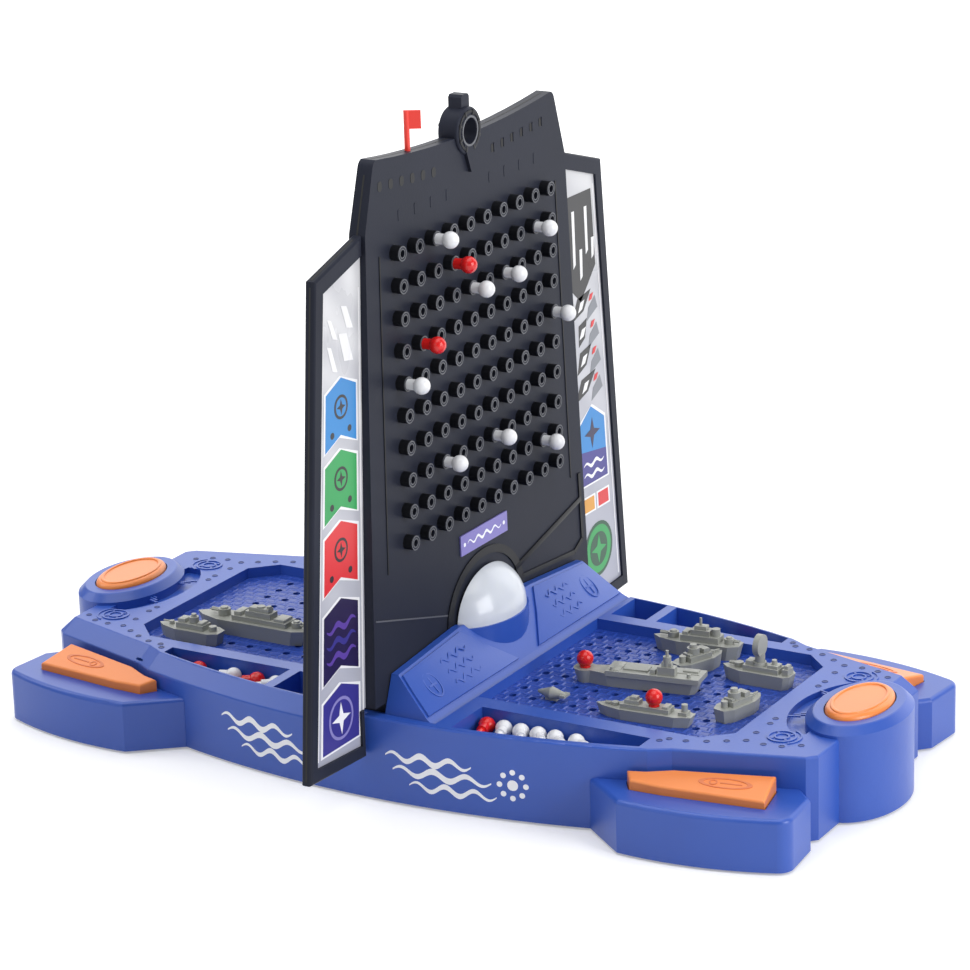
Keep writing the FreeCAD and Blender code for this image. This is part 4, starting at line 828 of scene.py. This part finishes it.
carrier_heading, carrier_peg_place, carrier_peg_reach = 189, (52.1, -4.4), 21.5
carrier_place = at_angle(carrier_peg_place, -carrier_peg_reach, carrier_heading)
fit_out("carrier_fittings", "carrier", carrier_place, carrier_heading,
        [(-25, 10, -0.35, 0.35, 7.0, 7.4), (-24, -18, -4.6, -1.4, 7.0, 7.8),
         (6, 10, -4.6, 4.6, 7.0, 7.35), (-15, -11, 1.4, 4.0, 10.4, 12.4),
         (-8.6, -6.4, 2.2, 4.4, 7.0, 9.0)],
        [(-13, 2.6, 0.7, 14.0, 17.0), (-22, 3.6, 0.9, 7.0, 8.6), (9.0, 4.2, 0.8, 7.0, 8.4)],
        [])
long_heading, long_peg_place, long_peg_reach = 184, (96.1, -30.8), -4.0
long_place = at_angle(long_peg_place, -long_peg_reach, long_heading)
fit_out("long_ship_fittings", "long_boat", long_place, long_heading,
        [(1.5, 7.5, -2.0, 2.0, 6.0, 7.8), (2.5, 5.5, -1.4, 1.4, 7.7, 9.0),
         (-10.4, -8.0, -2.2, 2.2, 6.0, 7.2)],
        [(12.0, 0, 1.6, 4.2, 5.6)],
        [(12.0, 0.5, 5.1, 4.2), (12.0, -0.5, 5.1, 4.2)])
fit_out("radar_ship_fittings", "radar_boat", (113.5, 22.3), 180,
        [(1.0, 4.2, -2.2, 2.2, 7.4, 9.4), (-9.4, -5.0, -2.3, 2.3, 7.4, 8.8),
         (-13.6, -12, -1.6, 1.6, 7.8, 9.4)],
        [(-7.2, 0, 1.2, 8.6, 10.6), (-1.0, 0, 3.0, 7.4, 9.0)],
        [(8.0, 0.7, 6.9, 4.0), (8.0, -0.7, 6.9, 4.0)])
fit_out("cruiser_fittings", "cruiser", (78.0, 40.6), 186,
        [(-4.4, 0.6, -1.7, 1.7, 10.4, 12.2), (3.0, 5.4, -2.6, 2.6, 8.2, 9.6)],
        [(-1.6, 0, 0.6, 12.0, 15.2), (10, 0, 1.5, 8.0, 8.9), (-13.5, 0, 1.3, 7.8, 8.7)],
        [(-13.5, 0.6, 7.2, -4.4), (-13.5, -0.6, 7.2, -4.4), (10, 0.8, 7.5, 5.2)])
for boat, body, place, heading in (("outer", "outer_boat", (122.0, -10.7), 75),
                                   ("inner", "inner_boat", (87.0, 24.6), 68)):
    fit_out("patrol_boat_" + boat + "_fittings", body, place, heading,
            [(0.4, 3.4, -2.4, 2.4, 7.2, 9.2), (-6.6, -5.2, -2.2, 2.2, 7.2, 8.4)],
            [(-3, 0, 1.6, 10.0, 11.6), (6.8, 0, 1.1, 5.2, 6.6)],
            [(6.8, 0, 6.2, 3.6)])
fit_out("west_large_fittings", "west_large", (-93.6, -18.2), 180,
        [(-8.6, 0.6, -2.0, 2.0, 10.6, 12.4), (4.0, 7.2, -3.2, 3.2, 8.2, 10.0),
         (-17, -12, -3.2, 3.2, 8.2, 9.6)],
        [(-8.0, 0, 1.2, 10.6, 13.4), (14, 0, 1.8, 9.0, 9.9), (-21, 0, 1.5, 8.4, 9.2)],
        [(14, 1.0, 8.3, 6.4), (14, -1.0, 8.3, 6.4), (-21, 0.8, 7.7, -5.0), (-21, -0.8, 7.7, -5.0)])
fit_out("west_small_fittings", "west_small", (-113.6, -34.2), 180,
        [(1.0, 4.4, -2.3, 2.3, 7.4, 9.2), (-7.4, -4.8, -2.3, 2.3, 7.4, 8.6)],
        [(-2, 0, 1.2, 10.0, 11.4), (9.0, 0, 1.2, 5.2, 6.8)],
        [(9.0, 0, 6.4, 4.0)])

# Underside and inside pieces. Steel screws and contacts, black slide switch and cone,
# rubber feet, sleeved cells and a green board; the photograph hides them.
trim_black = moulded_plastic("trim_black", (36, 36, 38), (28, 28, 30), 0.55)
dress(trim_black, "power_switch", "speaker_cone", "rubber_feet", "battery_cells")
screw_steel = moulded_plastic("screw_steel", (190, 190, 192), (170, 170, 172), 0.3)
screw_steel.node_tree.nodes["Principled BSDF"].inputs["Metallic"].default_value = 1.0
dress(screw_steel, "base_screws", "battery_door_screw", "screen_screws", "battery_contacts",
      "speaker_frame")
board_green = moulded_plastic("board_green", (30, 90, 50), (24, 76, 42), 0.4)
dress(board_green, "circuit_board")

# Table and studio. A plain pale table top, a large soft light overhead, one at either side, a
# weak one in front and a wide pale screen behind that the top faces mirror.
bpy.ops.mesh.primitive_plane_add(size=40, location=(0, 0, 0))
table = bpy.context.object
table.name = "table"
table_mat = bpy.data.materials.new("table_pale")
table_mat.use_nodes = True
table_tree = table_mat.node_tree
table_surface = table_tree.nodes["Principled BSDF"]
table_surface.inputs["Base Color"].default_value = (0.8, 0.8, 0.8, 1.0)
table_surface.inputs["Roughness"].default_value = 0.9
table_surface.inputs["Emission Color"].default_value = (1.0, 1.0, 1.0, 1.0)
table_place = table_tree.nodes.new("ShaderNodeTexCoord")
table_reach = table_tree.nodes.new("ShaderNodeVectorMath")
table_reach.operation = "LENGTH"
table_fade = table_tree.nodes.new("ShaderNodeMapRange")
table_fade.inputs["From Min"].default_value = 0.22
table_fade.inputs["From Max"].default_value = 2.0
table_fade.inputs["To Min"].default_value = 0.3
table_fade.inputs["To Max"].default_value = 1.0
seen = table_tree.nodes.new("ShaderNodeLightPath")
either = table_tree.nodes.new("ShaderNodeMath")
either.operation = "MAXIMUM"
any_seen = table_tree.nodes.new("ShaderNodeMath")
any_seen.operation = "MAXIMUM"
lift = table_tree.nodes.new("ShaderNodeMath")
lift.operation = "MULTIPLY"
table_tree.links.new(table_place.outputs["Object"], table_reach.inputs[0])
table_tree.links.new(table_reach.outputs["Value"], table_fade.inputs["Value"])
table_tree.links.new(table_fade.outputs["Result"], lift.inputs[1])
table_tree.links.new(seen.outputs["Is Camera Ray"], either.inputs[0])
table_tree.links.new(seen.outputs["Is Glossy Ray"], either.inputs[1])
table_tree.links.new(either.outputs["Value"], any_seen.inputs[0])
table_tree.links.new(seen.outputs["Is Transmission Ray"], any_seen.inputs[1])
table_tree.links.new(any_seen.outputs["Value"], lift.inputs[0])
table_tree.links.new(lift.outputs["Value"], table_surface.inputs["Emission Strength"])
table.data.materials.append(table_mat)

world = bpy.data.worlds.new("studio")
bpy.context.scene.world = world
world.use_nodes = True
world.node_tree.nodes["Background"].inputs["Color"].default_value = (1.0, 1.0, 1.0, 1.0)
world.node_tree.nodes["Background"].inputs["Strength"].default_value = 0.25


def soft_light(name, place, aim, width, height, power):
    lamp = bpy.data.lights.new(name, "AREA")
    lamp.shape = "RECTANGLE"
    lamp.size = width
    lamp.size_y = height
    lamp.energy = power
    holder = bpy.data.objects.new(name, lamp)
    bpy.context.scene.collection.objects.link(holder)
    holder.location = place
    holder.rotation_euler = (Vector(aim) - Vector(place)).to_track_quat("-Z", "Y").to_euler()
    holder.visible_camera = False


soft_light("overhead", (0.05, -0.05, 1.5), (0, 0, 0.05), 1.4, 1.4, 13.0)
soft_light("right", (1.5, -0.1, 0.65), (0.05, 0, 0.08), 0.9, 0.9, 16.0)
soft_light("left", (-1.2, -0.25, 1.05), (0, 0, 0.05), 1.0, 1.0, 7.0)
soft_light("front", (-0.4, -1.7, 0.9), (0, 0, 0.05), 1.2, 0.8, 4.0)
soft_light("backdrop", (-0.3, 1.65, 0.95), (0, 0, 0.4), 3.4, 1.8, 29.0)

# Camera, at the photograph's angle, with its small roll. Its focal length is written in the
# photograph's pixels.
azimuth, elevation, roll = (math.radians(v) for v in (30.68, 17.96, -1.71))
target = Vector((4.875, 2.875, 100.875)) * MM
camera_reach = 1416.25 * MM
sensor_width, focal_pixels, photo_pixels = 36.0, 3618, 970
level_right = Vector((math.cos(azimuth), math.sin(azimuth), 0))
back = Vector((math.sin(azimuth) * math.cos(elevation), -math.cos(azimuth) * math.cos(elevation),
               math.sin(elevation)))
level_up = back.cross(level_right)
right = level_right * math.cos(roll) + level_up * math.sin(roll)
up = level_up * math.cos(roll) - level_right * math.sin(roll)
lens = bpy.data.cameras.new("camera")
lens.sensor_width = sensor_width
lens.lens = sensor_width * focal_pixels / photo_pixels
camera = bpy.data.objects.new("camera", lens)
bpy.context.scene.collection.objects.link(camera)
camera_turn = Matrix((right, up, back)).transposed().to_4x4()
camera.matrix_world = Matrix.Translation(target + back * camera_reach) @ camera_turn
bpy.context.scene.camera = camera
bpy.context.scene.view_settings.view_transform = "Standard"
